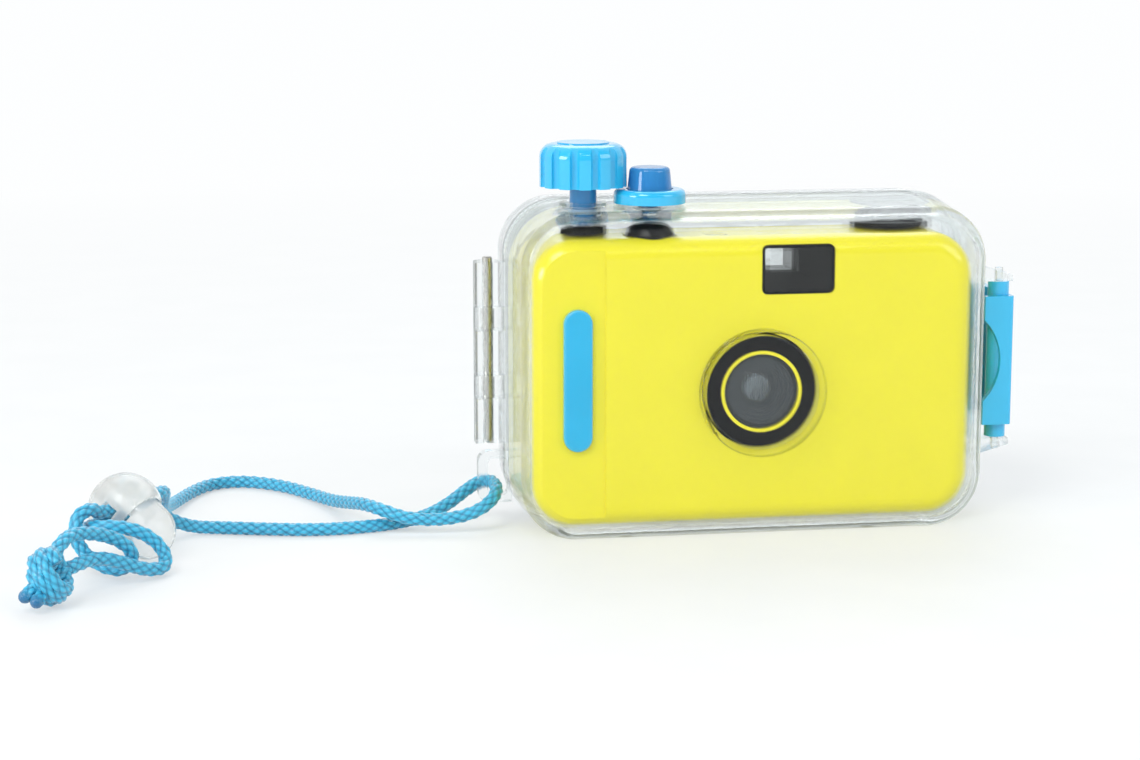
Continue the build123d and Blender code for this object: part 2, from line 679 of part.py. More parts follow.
# Latch lever on its steel pin, on the right side of the case
with BuildPart() as latch_lever:
    web_out = LATCH_X + LATCH_OUT
    hook_end = CATCH_Y + HOOK_DEPTH
    hook_face = catch_tip + CATCH_GAP
    with BuildSketch(Plane.XY.offset(LATCH_LOW)):
        with BuildLine():
            Polyline(
                (LATCH_X - LATCH_IN, LATCH_Y - LATCH_FRONT),
                (web_out, LATCH_Y - LATCH_FRONT),
                (web_out, hook_end),
                (hook_face - CATCH_FALL, hook_end),
                (hook_face - CATCH_FALL, CATCH_Y + CATCH_LENGTH),
                (hook_face, CATCH_Y),
                (web_out - LATCH_WEB, CATCH_Y),
                (web_out - LATCH_WEB, LATCH_Y - LATCH_FRONT + LATCH_FLANGE),
                (LATCH_X - LATCH_IN, LATCH_Y - LATCH_FRONT + LATCH_FLANGE),
                close=True,
            )
        make_face()
    extrude(amount=LATCH_LENGTH)
    fillet(latch_lever.edges().filter_by(Axis.Z).group_by(Axis.Y)[0].sort_by(Axis.X)[-1], LATCH_WEB / 2)
    fillet(latch_lever.edges().filter_by(Axis.Z).group_by(Axis.Y)[-1].sort_by(Axis.X)[-1], LATCH_WEB / 2)
    notch_radius = ((NOTCH_LENGTH / 2) ** 2 + NOTCH_DEPTH**2) / (2 * NOTCH_DEPTH)
    notch_z = LATCH_LOW + LATCH_LENGTH / 2
    with BuildSketch(upright(LATCH_Y - LATCH_FRONT + LATCH_FLANGE)):
        with Locations((LATCH_X - LATCH_IN + NOTCH_DEPTH - notch_radius, notch_z)):
            Circle(notch_radius)
    extrude(amount=2 * LATCH_FLANGE, mode=Mode.SUBTRACT)
    with BuildSketch(Plane.XY.offset(LATCH_LOW - BARREL_STUB)):
        with Locations((LATCH_X, LATCH_Y)):
            Circle(LATCH_BARREL)
    extrude(amount=LATCH_LENGTH + 2 * BARREL_STUB)
    with BuildSketch(Plane.XY.offset(LATCH_LOW - BARREL_STUB)):
        with Locations((LATCH_X, LATCH_Y)):
            Circle(LATCH_PIN_RADIUS + PIN_FIT)
    extrude(amount=LATCH_LENGTH + 2 * BARREL_STUB, mode=Mode.SUBTRACT)
save(latch_lever.part, "latch_lever")

with BuildPart() as latch_pin:
    with BuildSketch(Plane.XY.offset(stub_low - LATCH_LUG)):
        with Locations((LATCH_X, LATCH_Y)):
            Circle(LATCH_PIN_RADIUS)
    extrude(amount=stub_high - stub_low + 2 * LATCH_LUG)
save(latch_pin.part, "latch_pin")

# Yellow front cover of the camera, with its lens hole, finder window, bar pocket and top holes
FINDER_LOW = FINDER_Z - FINDER_HEIGHT / 2
COVER_INSIDE = CAMERA_FRONT + COVER_WALL
SHAFT_HOLE = 0.5

with BuildPart() as camera_front_cover:
    add(camera_block(COVER_BACK, CAMERA_FRONT, 0, COVER_ROUND))
    with BuildSketch(upright(CAMERA_FRONT + STEP_DEPTH)):
        with Locations((STEP_EDGE_X - STEP_RADIUS / 2, STEP_Z)):
            Rectangle(STEP_RADIUS, 2 * CAMERA_HEIGHT)
        with Locations((STEP_EDGE_X + STEP_RADIUS, STEP_Z)):
            Circle(STEP_RADIUS, mode=Mode.SUBTRACT)
    extrude(amount=STEP_DEPTH, mode=Mode.SUBTRACT)
    add(camera_block(COVER_BACK, COVER_INSIDE, COVER_WALL, COVER_ROUND - COVER_WALL), mode=Mode.SUBTRACT)
    add(lens_drum(CAMERA_FRONT, COVER_INSIDE, BARREL_RADIUS + BARREL_GAP), mode=Mode.SUBTRACT)
    with BuildSketch(upright(COVER_INSIDE + COVER_ROUND)):
        with Locations((FINDER_X, FINDER_Z)):
            RectangleRounded(FINDER_WIDTH + CAMERA_FIT, FINDER_HEIGHT + CAMERA_FIT, FINDER_CORNER)
    extrude(amount=COVER_WALL + COVER_ROUND, mode=Mode.SUBTRACT)
    with BuildSketch(upright(CAMERA_FRONT + STEP_DEPTH + BAR_SINK)):
        with Locations((BAR_X, BAR_Z)):
            SlotOverall(BAR_LENGTH, BAR_WIDTH, rotation=90)
    extrude(amount=STEP_DEPTH + BAR_SINK, mode=Mode.SUBTRACT)
    for x, y, radius in (
        (KNOB_X, KNOB_Y, WHEEL_RADIUS / 2 + SHAFT_HOLE),
        (RELEASE_X, RELEASE_Y, BUTTON_RADIUS + BUTTON_GAP),
        (CRANK_X, CRANK_Y, CRANK_SHAFT_RADIUS + SHAFT_HOLE),
    ):
        add(drum(x, y, CAMERA_TOP - 2 * COVER_WALL, CAMERA_TOP + COVER_WALL, radius), mode=Mode.SUBTRACT)
    with BuildSketch(Plane.XY.offset(CAMERA_TOP)):
        with Locations((DIAL_X, DIAL_Y - DIAL_RADIUS / 2)):
            RectangleRounded(DIAL_RADIUS, DIAL_RADIUS / 2, SHAFT_HOLE)
    extrude(amount=-2 * COVER_WALL, mode=Mode.SUBTRACT)
save(camera_front_cover.part, "camera_front_cover")

with BuildPart() as counter_window:
    with BuildSketch(Plane.XY.offset(CAMERA_TOP)):
        with Locations((DIAL_X, DIAL_Y - DIAL_RADIUS / 2)):
            RectangleRounded(DIAL_RADIUS, DIAL_RADIUS / 2, SHAFT_HOLE)
    extrude(amount=-COVER_WALL / 2)
save(counter_window.part, "counter_window")

with BuildPart() as camera_grip_bar:
    with BuildSketch(upright(CAMERA_FRONT + STEP_DEPTH + BAR_SINK)):
        with Locations((BAR_X, BAR_Z)):
            SlotOverall(BAR_LENGTH, BAR_WIDTH, rotation=90)
    extrude(amount=BAR_SINK + STEP_DEPTH + BAR_RISE - FRONT_GAP / 2)
    fillet(camera_grip_bar.faces().sort_by(Axis.Y)[0].edges(), BAR_RISE / 2)
save(camera_grip_bar.part, "camera_grip_bar")

# Lens: barrel with stepped funnel, rings, window, two elements and the shutter blade between
BARREL_FRONT = CAMERA_FRONT - BARREL_PROUD
POCKET_BACK = BARREL_BACK + SHUTTER_ROOM
FUNNEL_STEPS = 4
FUNNEL_DEPTH = 3.6
WINDOW_SEAT = BARREL_FRONT + WINDOW_THICK

with BuildPart() as lens_barrel:
    add(lens_drum(BARREL_FRONT, BARREL_BACK, BARREL_RADIUS))
    add(lens_drum(BARREL_FRONT, WINDOW_SEAT, TRIM_INNER), mode=Mode.SUBTRACT)
    for step in range(FUNNEL_STEPS):
        step_front = WINDOW_SEAT + step * FUNNEL_DEPTH / FUNNEL_STEPS
        step_radius = TRIM_INNER - 1 - step * (TRIM_INNER - 1 - LENS_RADIUS) / FUNNEL_STEPS
        step_back = step_front + FUNNEL_DEPTH / FUNNEL_STEPS
        add(lens_drum(step_front, step_back, step_radius), mode=Mode.SUBTRACT)
    element_front = WINDOW_SEAT + FUNNEL_DEPTH
    add(lens_drum(element_front, element_front + LENS_THICK / 2, LENS_RADIUS), mode=Mode.SUBTRACT)
    add(lens_drum(element_front, BARREL_BACK, STOP_RADIUS), mode=Mode.SUBTRACT)
save(lens_barrel.part, "lens_barrel")


def lens_ring(inner, outer):
    """A flat ring glued to the front of the lens barrel."""
    with BuildPart() as ring:
        add(lens_drum(BARREL_FRONT - BEZEL_THICK, BARREL_FRONT, outer))
        add(lens_drum(BARREL_FRONT - BEZEL_THICK, BARREL_FRONT, inner), mode=Mode.SUBTRACT)
    return ring.part


save(lens_ring(TRIM_OUTER, BEZEL_RADIUS), "lens_bezel_ring")
save(lens_ring(TRIM_INNER, TRIM_OUTER), "lens_trim_ring")
save(lens_drum(BARREL_FRONT, WINDOW_SEAT, TRIM_INNER), "lens_window")


def lens_element(front, radius, rim, bulge):
    """A glass element whose front bulges and whose rim is a short cylinder."""
    with BuildPart() as element:
        with BuildSketch(Plane.YZ):
            with BuildLine():
                Polyline((front, 0), (front + rim, 0), (front + rim, radius), (front, radius))
                ThreePointArc(
                    (front, radius),
                    (front - cap_height(radius, bulge, radius / 2), radius / 2),
                    (front - bulge, 0),
                )
                Line((front - bulge, 0), (front, 0))
            make_face()
        revolve(axis=Axis.Y)
    return Pos(LENS_X, 0, LENS_Z) * element.part


save(lens_element(element_front, LENS_RADIUS, LENS_THICK / 2, LENS_THICK / 2), "front_lens")

# Places of the door pin and of the screws in the rear top band
DOOR_PIN_X = -CAMERA_WIDTH / 2 + CHASSIS_INSET + DOOR_KNUCKLE + PIN_FIT
DOOR_PIN_Y = CAMERA_BACK - DOOR_KNUCKLE - PIN_FIT
SCREW_PLACES = [(x, FINDER_Z) for x in (-SCREW_OUTER_X, -SCREW_INNER_X, SCREW_INNER_X, SCREW_OUTER_X)]

# Black chassis: film rooms, gate, shutter pocket, finder tunnel and the rear top band
CHASSIS_TOP = CAMERA_TOP - CHASSIS_INSET
CHASSIS_LOW = CAMERA_FLOOR + CHASSIS_INSET
FRONT_INSET = COVER_WALL + CAMERA_FIT
FINDER_BACK = CAMERA_FRONT + FINDER_LENGTH
REAR_LENS_FRONT = POCKET_BACK + 2
DIAL_HIGH = CAMERA_TOP - COVER_WALL - CAMERA_FIT

with BuildPart() as camera_chassis:
    add(camera_block(COVER_BACK, COVER_INSIDE + CAMERA_FIT, FRONT_INSET, COVER_ROUND - COVER_WALL))
    add(camera_block(COVER_BACK + CAMERA_FIT, CAMERA_BACK, CHASSIS_INSET, COVER_WALL))
    with BuildSketch(upright(COVER_BACK)):
        with Locations((0, CAMERA_MIDDLE)):
            RectangleRounded(
                CAMERA_WIDTH - 2 * FRONT_INSET, CAMERA_HEIGHT - 2 * FRONT_INSET, CAMERA_CORNER - FRONT_INSET
            )
    extrude(amount=-2 * CAMERA_FIT)
    door_side = (-CAMERA_WIDTH, DOOR_EDGE + DOOR_GAP)
    door_span = (DOOR_LOW - DOOR_GAP, DOOR_TOP)
    add(block_at(door_side, (FILM_Y, CAMERA_BACK + 1), door_span), mode=Mode.SUBTRACT)
    add(drum(KNOB_X, KNOB_Y, ROOM_LOW, ROOM_HIGH, SPOOL_ROOM), mode=Mode.SUBTRACT)
    spool_room = (KNOB_X - SPOOL_ROOM, KNOB_X + SPOOL_ROOM)
    add(block_at(spool_room, (KNOB_Y, FILM_Y), (ROOM_LOW, DOOR_TOP - 2)), mode=Mode.SUBTRACT)
    add(drum(CRANK_X, CRANK_Y, ROOM_LOW, ROOM_HIGH, CASSETTE_ROOM), mode=Mode.SUBTRACT)
    cassette_room = (CRANK_X - CASSETTE_ROOM, CRANK_X + CASSETTE_ROOM)
    add(block_at(cassette_room, (CRANK_Y, FILM_Y), (ROOM_LOW, DOOR_TOP - 2)), mode=Mode.SUBTRACT)
    sprocket_low = LENS_Z - GATE_HEIGHT / 2 - 5
    sprocket_high = LENS_Z + GATE_HEIGHT / 2 + 5
    add(drum(SPROCKET_X, SPROCKET_Y, sprocket_low, sprocket_high, SPROCKET_ROOM), mode=Mode.SUBTRACT)
    sprocket_room = (SPROCKET_X - SPROCKET_ROOM, SPROCKET_X + SPROCKET_ROOM)
    add(block_at(sprocket_room, (SPROCKET_Y, FILM_Y), (sprocket_low, sprocket_high)), mode=Mode.SUBTRACT)
    with BuildSketch(upright(FILM_Y)) as gate:
        with Locations((LENS_X, LENS_Z)):
            Rectangle(GATE_WIDTH, GATE_HEIGHT)
    with BuildSketch(upright(REAR_LENS_FRONT + LENS_THICK)) as throat:
        with Locations((LENS_X, LENS_Z)):
            Rectangle(2 * REAR_LENS_RADIUS, 2 * REAR_LENS_RADIUS)
    loft(sections=[gate.sketch, throat.sketch], mode=Mode.SUBTRACT)
    add(lens_drum(CAMERA_FRONT, POCKET_BACK, BARREL_RADIUS + BARREL_GAP), mode=Mode.SUBTRACT)
    add(lens_drum(POCKET_BACK, REAR_LENS_FRONT, STOP_RADIUS), mode=Mode.SUBTRACT)
    add(lens_drum(REAR_LENS_FRONT, REAR_LENS_FRONT + LENS_THICK, REAR_LENS_RADIUS), mode=Mode.SUBTRACT)
    finder_side = (FINDER_X - FINDER_WIDTH / 2 - CAMERA_FIT, FINDER_X + FINDER_WIDTH / 2 + CAMERA_FIT)
    finder_span = (FINDER_LOW - CAMERA_FIT, CAMERA_TOP)
    add(block_at(finder_side, (CAMERA_FRONT, FINDER_BACK + CAMERA_FIT), finder_span), mode=Mode.SUBTRACT)
    with BuildSketch(upright(CAMERA_BACK)):
        with Locations((FINDER_X, FINDER_Z)):
            Rectangle(EYEPIECE_WIDTH, EYEPIECE_HEIGHT)
    extrude(amount=CAMERA_BACK - FINDER_BACK, mode=Mode.SUBTRACT)
    button_room = CAMERA_TOP - BUTTON_SKIRT - BUTTON_TRAVEL - 2 * COVER_WALL
    room_radius = BUTTON_RADIUS + BUTTON_GAP + CAMERA_FIT
    add(drum(RELEASE_X, RELEASE_Y, button_room, CAMERA_TOP, room_radius), mode=Mode.SUBTRACT)
    add(drum(DIAL_X, DIAL_Y, DIAL_HIGH - 2 * DIAL_THICK, CAMERA_TOP, DIAL_RADIUS + 1), mode=Mode.SUBTRACT)
    add(drum(KNOB_X, KNOB_Y, ROOM_HIGH - 1, CAMERA_TOP, WHEEL_RADIUS / 2 + SHAFT_HOLE), mode=Mode.SUBTRACT)
    add(drum(CRANK_X, CRANK_Y, ROOM_HIGH - 1, CAMERA_TOP, CRANK_SHAFT_RADIUS + SHAFT_HOLE), mode=Mode.SUBTRACT)
    release_hole = RELEASE_BUTTON_RADIUS + CAMERA_FIT
    add(drum(SPROCKET_X, SPROCKET_Y, 0, sprocket_low - 2, release_hole), mode=Mode.SUBTRACT)
    axle_span = (sprocket_low - 3, sprocket_high + AXLE_LENGTH + CAMERA_FIT)
    add(drum(SPROCKET_X, SPROCKET_Y, *axle_span, AXLE_RADIUS + CAMERA_FIT), mode=Mode.SUBTRACT)
    ear_side = (-CAMERA_WIDTH / 2 + CHASSIS_INSET, DOOR_PIN_X + DOOR_KNUCKLE)
    add(block_at(ear_side, (FILM_Y - 1, CAMERA_BACK - CAMERA_FIT), (EAR_LOW, EAR_LOW + EAR_HEIGHT)))
    pin_span = (EAR_LOW, DOOR_TOP + EAR_HEIGHT)
    add(drum(DOOR_PIN_X, DOOR_PIN_Y, *pin_span, DOOR_PIN_RADIUS + PIN_FIT), mode=Mode.SUBTRACT)
    with BuildSketch(upright(CAMERA_BACK - SCREW_HEAD)):
        with Locations(*SCREW_PLACES):
            Circle(SCREW_RADIUS)
    extrude(amount=SCREW_LENGTH, mode=Mode.SUBTRACT)
    with BuildSketch(upright(CAMERA_BACK)):
        with Locations(*SCREW_PLACES):
            Circle(2 * SCREW_RADIUS)
    extrude(amount=SCREW_HEAD, mode=Mode.SUBTRACT)
save(camera_chassis.part, "camera_chassis")
save(lens_element(REAR_LENS_FRONT + LENS_THICK / 2, REAR_LENS_RADIUS, LENS_THICK / 2, LENS_THICK / 3), "rear_lens")

# Shutter blade on its pin, behind the barrel
BLADE_FRONT = BARREL_BACK + (SHUTTER_ROOM - BLADE_THICK) / 2

with BuildPart() as shutter_blade:
    with BuildSketch(upright(BLADE_FRONT + BLADE_THICK)):
        with Locations((LENS_X, LENS_Z)):
            Circle(BLADE_RADIUS)
        with Locations((LENS_X - BLADE_ARM, LENS_Z)):
            Circle(BLADE_HUB)
        with BuildLine():
            Polyline(
                (LENS_X - BLADE_ARM, LENS_Z + BLADE_HUB),
                (LENS_X, LENS_Z + BLADE_HUB),
                (LENS_X, LENS_Z - BLADE_HUB),
                (LENS_X - BLADE_ARM, LENS_Z - BLADE_HUB),
                close=True,
            )
        make_face()
        with Locations((LENS_X - BLADE_ARM, LENS_Z)):
            Circle(BLADE_PIN_RADIUS + PIN_FIT, mode=Mode.SUBTRACT)
    extrude(amount=BLADE_THICK)
save(shutter_blade.part, "shutter_blade")

with BuildPart() as shutter_pin:
    with BuildSketch(upright(POCKET_BACK)):
        with Locations((LENS_X - BLADE_ARM, LENS_Z)):
            Circle(BLADE_PIN_RADIUS)
    extrude(amount=SHUTTER_ROOM)
save(shutter_pin.part, "shutter_pin")

# Viewfinder: funnel, front window and eyepiece
with BuildPart() as viewfinder_funnel:
    with BuildSketch(upright(FINDER_BACK)):
        with Locations((FINDER_X, FINDER_Z)):
            RectangleRounded(FINDER_WIDTH, FINDER_HEIGHT, FINDER_CORNER)
    extrude(amount=FINDER_LENGTH)
    with BuildSketch(upright(CAMERA_FRONT + PANE_THICK)) as mouth:
        with Locations((FINDER_X, FINDER_Z)):
            RectangleRounded(FINDER_WIDTH - 2 * FINDER_WALL, FINDER_HEIGHT - 2 * FINDER_WALL, FINDER_WALL)
    extrude(amount=PANE_THICK, mode=Mode.SUBTRACT)
    with BuildSketch(upright(FINDER_BACK)) as mask:
        with Locations((FINDER_X, FINDER_Z)):
            RectangleRounded(MASK_WIDTH, MASK_HEIGHT, FINDER_WALL)
    loft(sections=[mouth.sketch, mask.sketch], mode=Mode.SUBTRACT)
save(viewfinder_funnel.part, "viewfinder_funnel")

with BuildPart() as viewfinder_window:
    with BuildSketch(upright(CAMERA_FRONT + PANE_THICK)):
        with Locations((FINDER_X, FINDER_Z)):
            RectangleRounded(FINDER_WIDTH - 2 * FINDER_WALL, FINDER_HEIGHT - 2 * FINDER_WALL, FINDER_WALL)
    extrude(amount=PANE_THICK)
save(viewfinder_window.part, "viewfinder_window")

with BuildPart() as viewfinder_eyepiece:
    with BuildSketch(upright(CAMERA_BACK - PANE_THICK)):
        with Locations((FINDER_X, FINDER_Z)):
            Rectangle(EYEPIECE_WIDTH, EYEPIECE_HEIGHT)
    extrude(amount=1.5 * PANE_THICK)
save(viewfinder_eyepiece.part, "viewfinder_eyepiece")

# The camera's own shutter button and its spring
BUTTON_LOW = CAMERA_TOP - BUTTON_SKIRT

with BuildPart() as camera_shutter_button:
    with BuildSketch(Plane.XZ):
        with BuildLine():
            Polyline((0, BUTTON_HIGH), (0, BUTTON_LOW), (BUTTON_RADIUS, BUTTON_LOW), (BUTTON_RADIUS, CAMERA_TOP))
            ThreePointArc(
                (BUTTON_RADIUS, CAMERA_TOP),
                (BUTTON_RADIUS / 2, CAMERA_TOP + cap_height(BUTTON_RADIUS, BUTTON_RISE, BUTTON_RADIUS / 2)),
                (0, BUTTON_HIGH),
            )
        make_face()
    revolve(axis=Axis.Z)
save(Pos(RELEASE_X, RELEASE_Y, 0) * camera_shutter_button.part, "camera_shutter_button")

button_spring = coil_spring(BUTTON_RADIUS - 2, SPRING_WIRE, BUTTON_LOW - button_room, 3)
save(Pos(RELEASE_X, RELEASE_Y, button_room) * button_spring, "camera_button_spring")

# Film advance: wheel under the winding shaft, and the take-up spool below it
WHEEL_LOW = CAMERA_TOP + WHEEL_GAP
WHEEL_TEETH = 30

with BuildPart() as advance_wheel:
    add(drum(KNOB_X, KNOB_Y, WHEEL_LOW, WHEEL_LOW + WHEEL_HEIGHT, WHEEL_RADIUS))
    with BuildSketch(Plane.XY.offset(WHEEL_LOW)):
        with Locations((KNOB_X, KNOB_Y)):
            with PolarLocations(WHEEL_RADIUS, WHEEL_TEETH):
                Circle(SLOT_GAP)
    extrude(amount=WHEEL_HEIGHT, mode=Mode.SUBTRACT)
    with BuildSketch(Plane.XY.offset(WHEEL_LOW + WHEEL_HEIGHT)):
        with Locations((KNOB_X, KNOB_Y)):
            Rectangle(2 * WHEEL_RADIUS, TONGUE_WIDTH + 2 * SLOT_GAP)
    extrude(amount=-TONGUE_DEPTH - SLOT_GAP, mode=Mode.SUBTRACT)
    add(drum(KNOB_X, KNOB_Y, ROOM_HIGH - 1, WHEEL_LOW, WHEEL_RADIUS / 2))
save(advance_wheel.part, "advance_wheel")

with BuildPart() as take_up_spool:
    add(drum(KNOB_X, KNOB_Y, ROOM_LOW + 1, ROOM_HIGH - 1, SPOOL_RADIUS))
    add(drum(KNOB_X, KNOB_Y, ROOM_LOW + 1, ROOM_LOW + 2, SPOOL_FLANGE))
    add(drum(KNOB_X, KNOB_Y, ROOM_HIGH - 2, ROOM_HIGH - 1, SPOOL_FLANGE))
    slot_span = (LENS_Z - GATE_HEIGHT / 2, LENS_Z + GATE_HEIGHT / 2)
    slot_side = (KNOB_X - 2 * SPOOL_RADIUS, KNOB_X + 2 * SPOOL_RADIUS)
    add(block_at(slot_side, (KNOB_Y - SLOT_GAP, KNOB_Y + SLOT_GAP), slot_span), mode=Mode.SUBTRACT)
save(take_up_spool.part, "take_up_spool")

# Film sprocket with two rows of teeth, one tooth to each perforation of the film
with BuildPart() as film_sprocket:
    add(drum(SPROCKET_X, SPROCKET_Y, sprocket_low + 1, sprocket_high - 1, SPROCKET_RADIUS))
    add(drum(SPROCKET_X, SPROCKET_Y, sprocket_low - AXLE_LENGTH, sprocket_high + AXLE_LENGTH, AXLE_RADIUS))
    for row in (-1, 1):
        with BuildSketch(Plane.XY.offset(LENS_Z + row * PERFORATION_ROW - TOOTH_REACH)):
            with Locations((SPROCKET_X, SPROCKET_Y)):
                with PolarLocations(SPROCKET_RADIUS, TEETH):
                    Rectangle(2 * TOOTH_REACH, TOOTH_REACH)
        extrude(amount=2 * TOOTH_REACH)
save(film_sprocket.part, "film_sprocket")

with BuildPart() as frame_counter_dial:
    add(drum(DIAL_X, DIAL_Y, DIAL_HIGH - CAMERA_FIT - DIAL_THICK, DIAL_HIGH - CAMERA_FIT, DIAL_RADIUS))
save(frame_counter_dial.part, "frame_counter_dial")

# Rewind crank on top, its shaft and fork in the cassette room, and the release button below
CRANK_LOW = CAMERA_TOP + CRANK_LIFT
CRANK_HIGH = CRANK_LOW + CRANK_THICK

with BuildPart() as rewind_crank:
    add(drum(CRANK_X, CRANK_Y, CRANK_LOW, CRANK_HIGH, CRANK_RADIUS))
    chamfer(rewind_crank.faces().sort_by(Axis.Z)[-1].edges(), CRANK_THICK / 4)
    handle_side = (CRANK_X - HANDLE_WIDTH, CRANK_X + CRANK_RADIUS - HANDLE_KNOB_RADIUS)
    handle_depth = (CRANK_Y - HANDLE_WIDTH / 2, CRANK_Y + HANDLE_WIDTH / 2)
    add(block_at(handle_side, handle_depth, (CRANK_HIGH, CRANK_HIGH + HANDLE_THICK)))
    add(drum(handle_side[1] - 1, CRANK_Y, CRANK_HIGH, CRANK_HIGH + 1.5 * HANDLE_THICK, HANDLE_KNOB_RADIUS))
save(rewind_crank.part, "rewind_crank")

with BuildPart() as rewind_shaft:
    add(drum(CRANK_X, CRANK_Y, ROOM_HIGH - 2, CRANK_LOW, CRANK_SHAFT_RADIUS))
    add(drum(CRANK_X, CRANK_Y, ROOM_HIGH - 9, ROOM_HIGH - 1, CRANK_SHAFT_RADIUS + SHAFT_HOLE))
    fork_depth = (CRANK_Y - TONGUE_WIDTH, CRANK_Y + TONGUE_WIDTH)
    fork_side = (CRANK_X - CRANK_RADIUS, CRANK_X + CRANK_RADIUS)
    add(block_at(fork_side, fork_depth, (ROOM_HIGH - 10, ROOM_HIGH - 4)), mode=Mode.SUBTRACT)
save(rewind_shaft.part, "rewind_shaft")

with BuildPart() as rewind_release_button:
    button_span = (CHASSIS_LOW, sprocket_low - AXLE_LENGTH - 1.5 * RELEASE_BUTTON_TRAVEL)
    add(drum(SPROCKET_X, SPROCKET_Y, *button_span, RELEASE_BUTTON_RADIUS))
save(rewind_release_button.part, "rewind_release_button")

# Back door of the camera with its pin, pressure plate and leaf spring
DOOR_FRONT = FILM_Y + DOOR_GAP
DOOR_POCKET = CAMERA_BACK - DOOR_WALL
PLATE_FRONT = FILM_Y + 2 * DOOR_GAP

with BuildPart() as camera_back_door:
    add(camera_block(DOOR_FRONT, CAMERA_BACK, CHASSIS_INSET, DOOR_WALL / 2))
    above_door = ((-CAMERA_WIDTH, CAMERA_WIDTH), (FILM_Y, CAMERA_BACK), (DOOR_TOP - DOOR_GAP, CAMERA_TOP))
    add(block_at(*above_door), mode=Mode.SUBTRACT)
    add(block_at((DOOR_EDGE, CAMERA_WIDTH), (FILM_Y, CAMERA_BACK), (0, CAMERA_TOP)), mode=Mode.SUBTRACT)
    below_door = ((-CAMERA_WIDTH, CAMERA_WIDTH), (FILM_Y, CAMERA_BACK), (0, DOOR_LOW))
    add(block_at(*below_door), mode=Mode.SUBTRACT)
    add(block_at((-CAMERA_WIDTH, DOOR_PIN_X), (FILM_Y, CAMERA_BACK), (0, CAMERA_TOP)), mode=Mode.SUBTRACT)
    pocket_side = (DOOR_PIN_X + 4 * DOOR_KNUCKLE, DOOR_EDGE - DOOR_WALL)
    add(block_at(pocket_side, (FILM_Y, DOOR_POCKET), (DOOR_LOW + DOOR_WALL, DOOR_TOP - 4)), mode=Mode.SUBTRACT)
    knuckle_low = EAR_LOW + EAR_HEIGHT + DOOR_GAP
    ear_room = (DOOR_PIN_X - DOOR_KNUCKLE, DOOR_PIN_X + DOOR_KNUCKLE + 2 * DOOR_GAP)
    add(block_at(ear_room, (FILM_Y, CAMERA_BACK), (0, knuckle_low)), mode=Mode.SUBTRACT)
    add(drum(DOOR_PIN_X, DOOR_PIN_Y, knuckle_low, DOOR_TOP - DOOR_GAP, DOOR_KNUCKLE))
    pin_hole = (EAR_LOW, DOOR_TOP)
    add(drum(DOOR_PIN_X, DOOR_PIN_Y, *pin_hole, DOOR_PIN_RADIUS + PIN_FIT), mode=Mode.SUBTRACT)
save(camera_back_door.part, "camera_back_door")

save(drum(DOOR_PIN_X, DOOR_PIN_Y, EAR_LOW, DOOR_TOP + EAR_HEIGHT, DOOR_PIN_RADIUS), "door_hinge_pin")

with BuildPart() as film_pressure_plate:
    with BuildSketch(upright(PLATE_FRONT + PLATE_THICK)):
        with Locations((LENS_X, LENS_Z)):
            RectangleRounded(PLATE_WIDTH, PLATE_HEIGHT, PLATE_THICK)
    extrude(amount=PLATE_THICK)
save(film_pressure_plate.part, "film_pressure_plate")

with BuildPart() as pressure_spring:
    leaf_front = PLATE_FRONT + PLATE_THICK
    leaf_thick = LEAF_THICK
    leaf_reach = PLATE_WIDTH / 4
    with BuildSketch(Plane.XY.offset(LENS_Z - leaf_reach / 2)):
        with BuildLine():
            ThreePointArc(
                (LENS_X - leaf_reach, DOOR_POCKET - leaf_thick),
                (LENS_X, leaf_front),
                (LENS_X + leaf_reach, DOOR_POCKET - leaf_thick),
            )
            Line((LENS_X + leaf_reach, DOOR_POCKET - leaf_thick), (LENS_X + leaf_reach, DOOR_POCKET))
            ThreePointArc(
                (LENS_X + leaf_reach, DOOR_POCKET),
                (LENS_X, leaf_front + leaf_thick),
                (LENS_X - leaf_reach, DOOR_POCKET),
            )
            Line((LENS_X - leaf_reach, DOOR_POCKET), (LENS_X - leaf_reach, DOOR_POCKET - leaf_thick))
        make_face()
    extrude(amount=leaf_reach)
save(pressure_spring.part, "pressure_spring")

# Four small screws in the rear top band
with BuildPart() as camera_screws:
    with BuildSketch(upright(CAMERA_BACK - SCREW_HEAD)):
        with Locations(*SCREW_PLACES):
            Circle(SCREW_RADIUS)
    extrude(amount=SCREW_LENGTH)
    with BuildSketch(upright(CAMERA_BACK)):
        with Locations(*SCREW_PLACES):
            Circle(2 * SCREW_RADIUS)
    extrude(amount=SCREW_HEAD)
    with BuildSketch(upright(CAMERA_BACK)):
        with Locations(*SCREW_PLACES):
            Rectangle(3 * SCREW_RADIUS, SCREW_RADIUS / 2)
            Rectangle(SCREW_RADIUS / 2, 3 * SCREW_RADIUS)
    extrude(amount=SCREW_HEAD / 2, mode=Mode.SUBTRACT)
save(camera_screws.part, "camera_screws")

# Cord lock, lying tilted so that its button rests on the table: X along its cross hole, Z along its button
LOCK = Plane(origin=(-148.9, -17.2, 11.3), x_dir=(-0.627, -0.779, -0.044), z_dir=(0.643, -0.484, -0.590))
BUTTON_SEAT = -LOCK_WINDOW - LOCK_TRAVEL - CAMERA_FIT
NECK_SEAT = BUTTON_SEAT - LOCK_NECK - CAMERA_FIT
SPRING_SEAT = -LOCK_WINDOW - LOCK_NECK - LOCK_SPRING_LENGTH


def lock_drum(low, high, radius):
    """A cylinder on the lock's button axis."""
    with BuildPart() as piece:
        with BuildSketch(LOCK.offset(low)):
            Circle(radius)
        extrude(amount=high - low)
    return piece.part


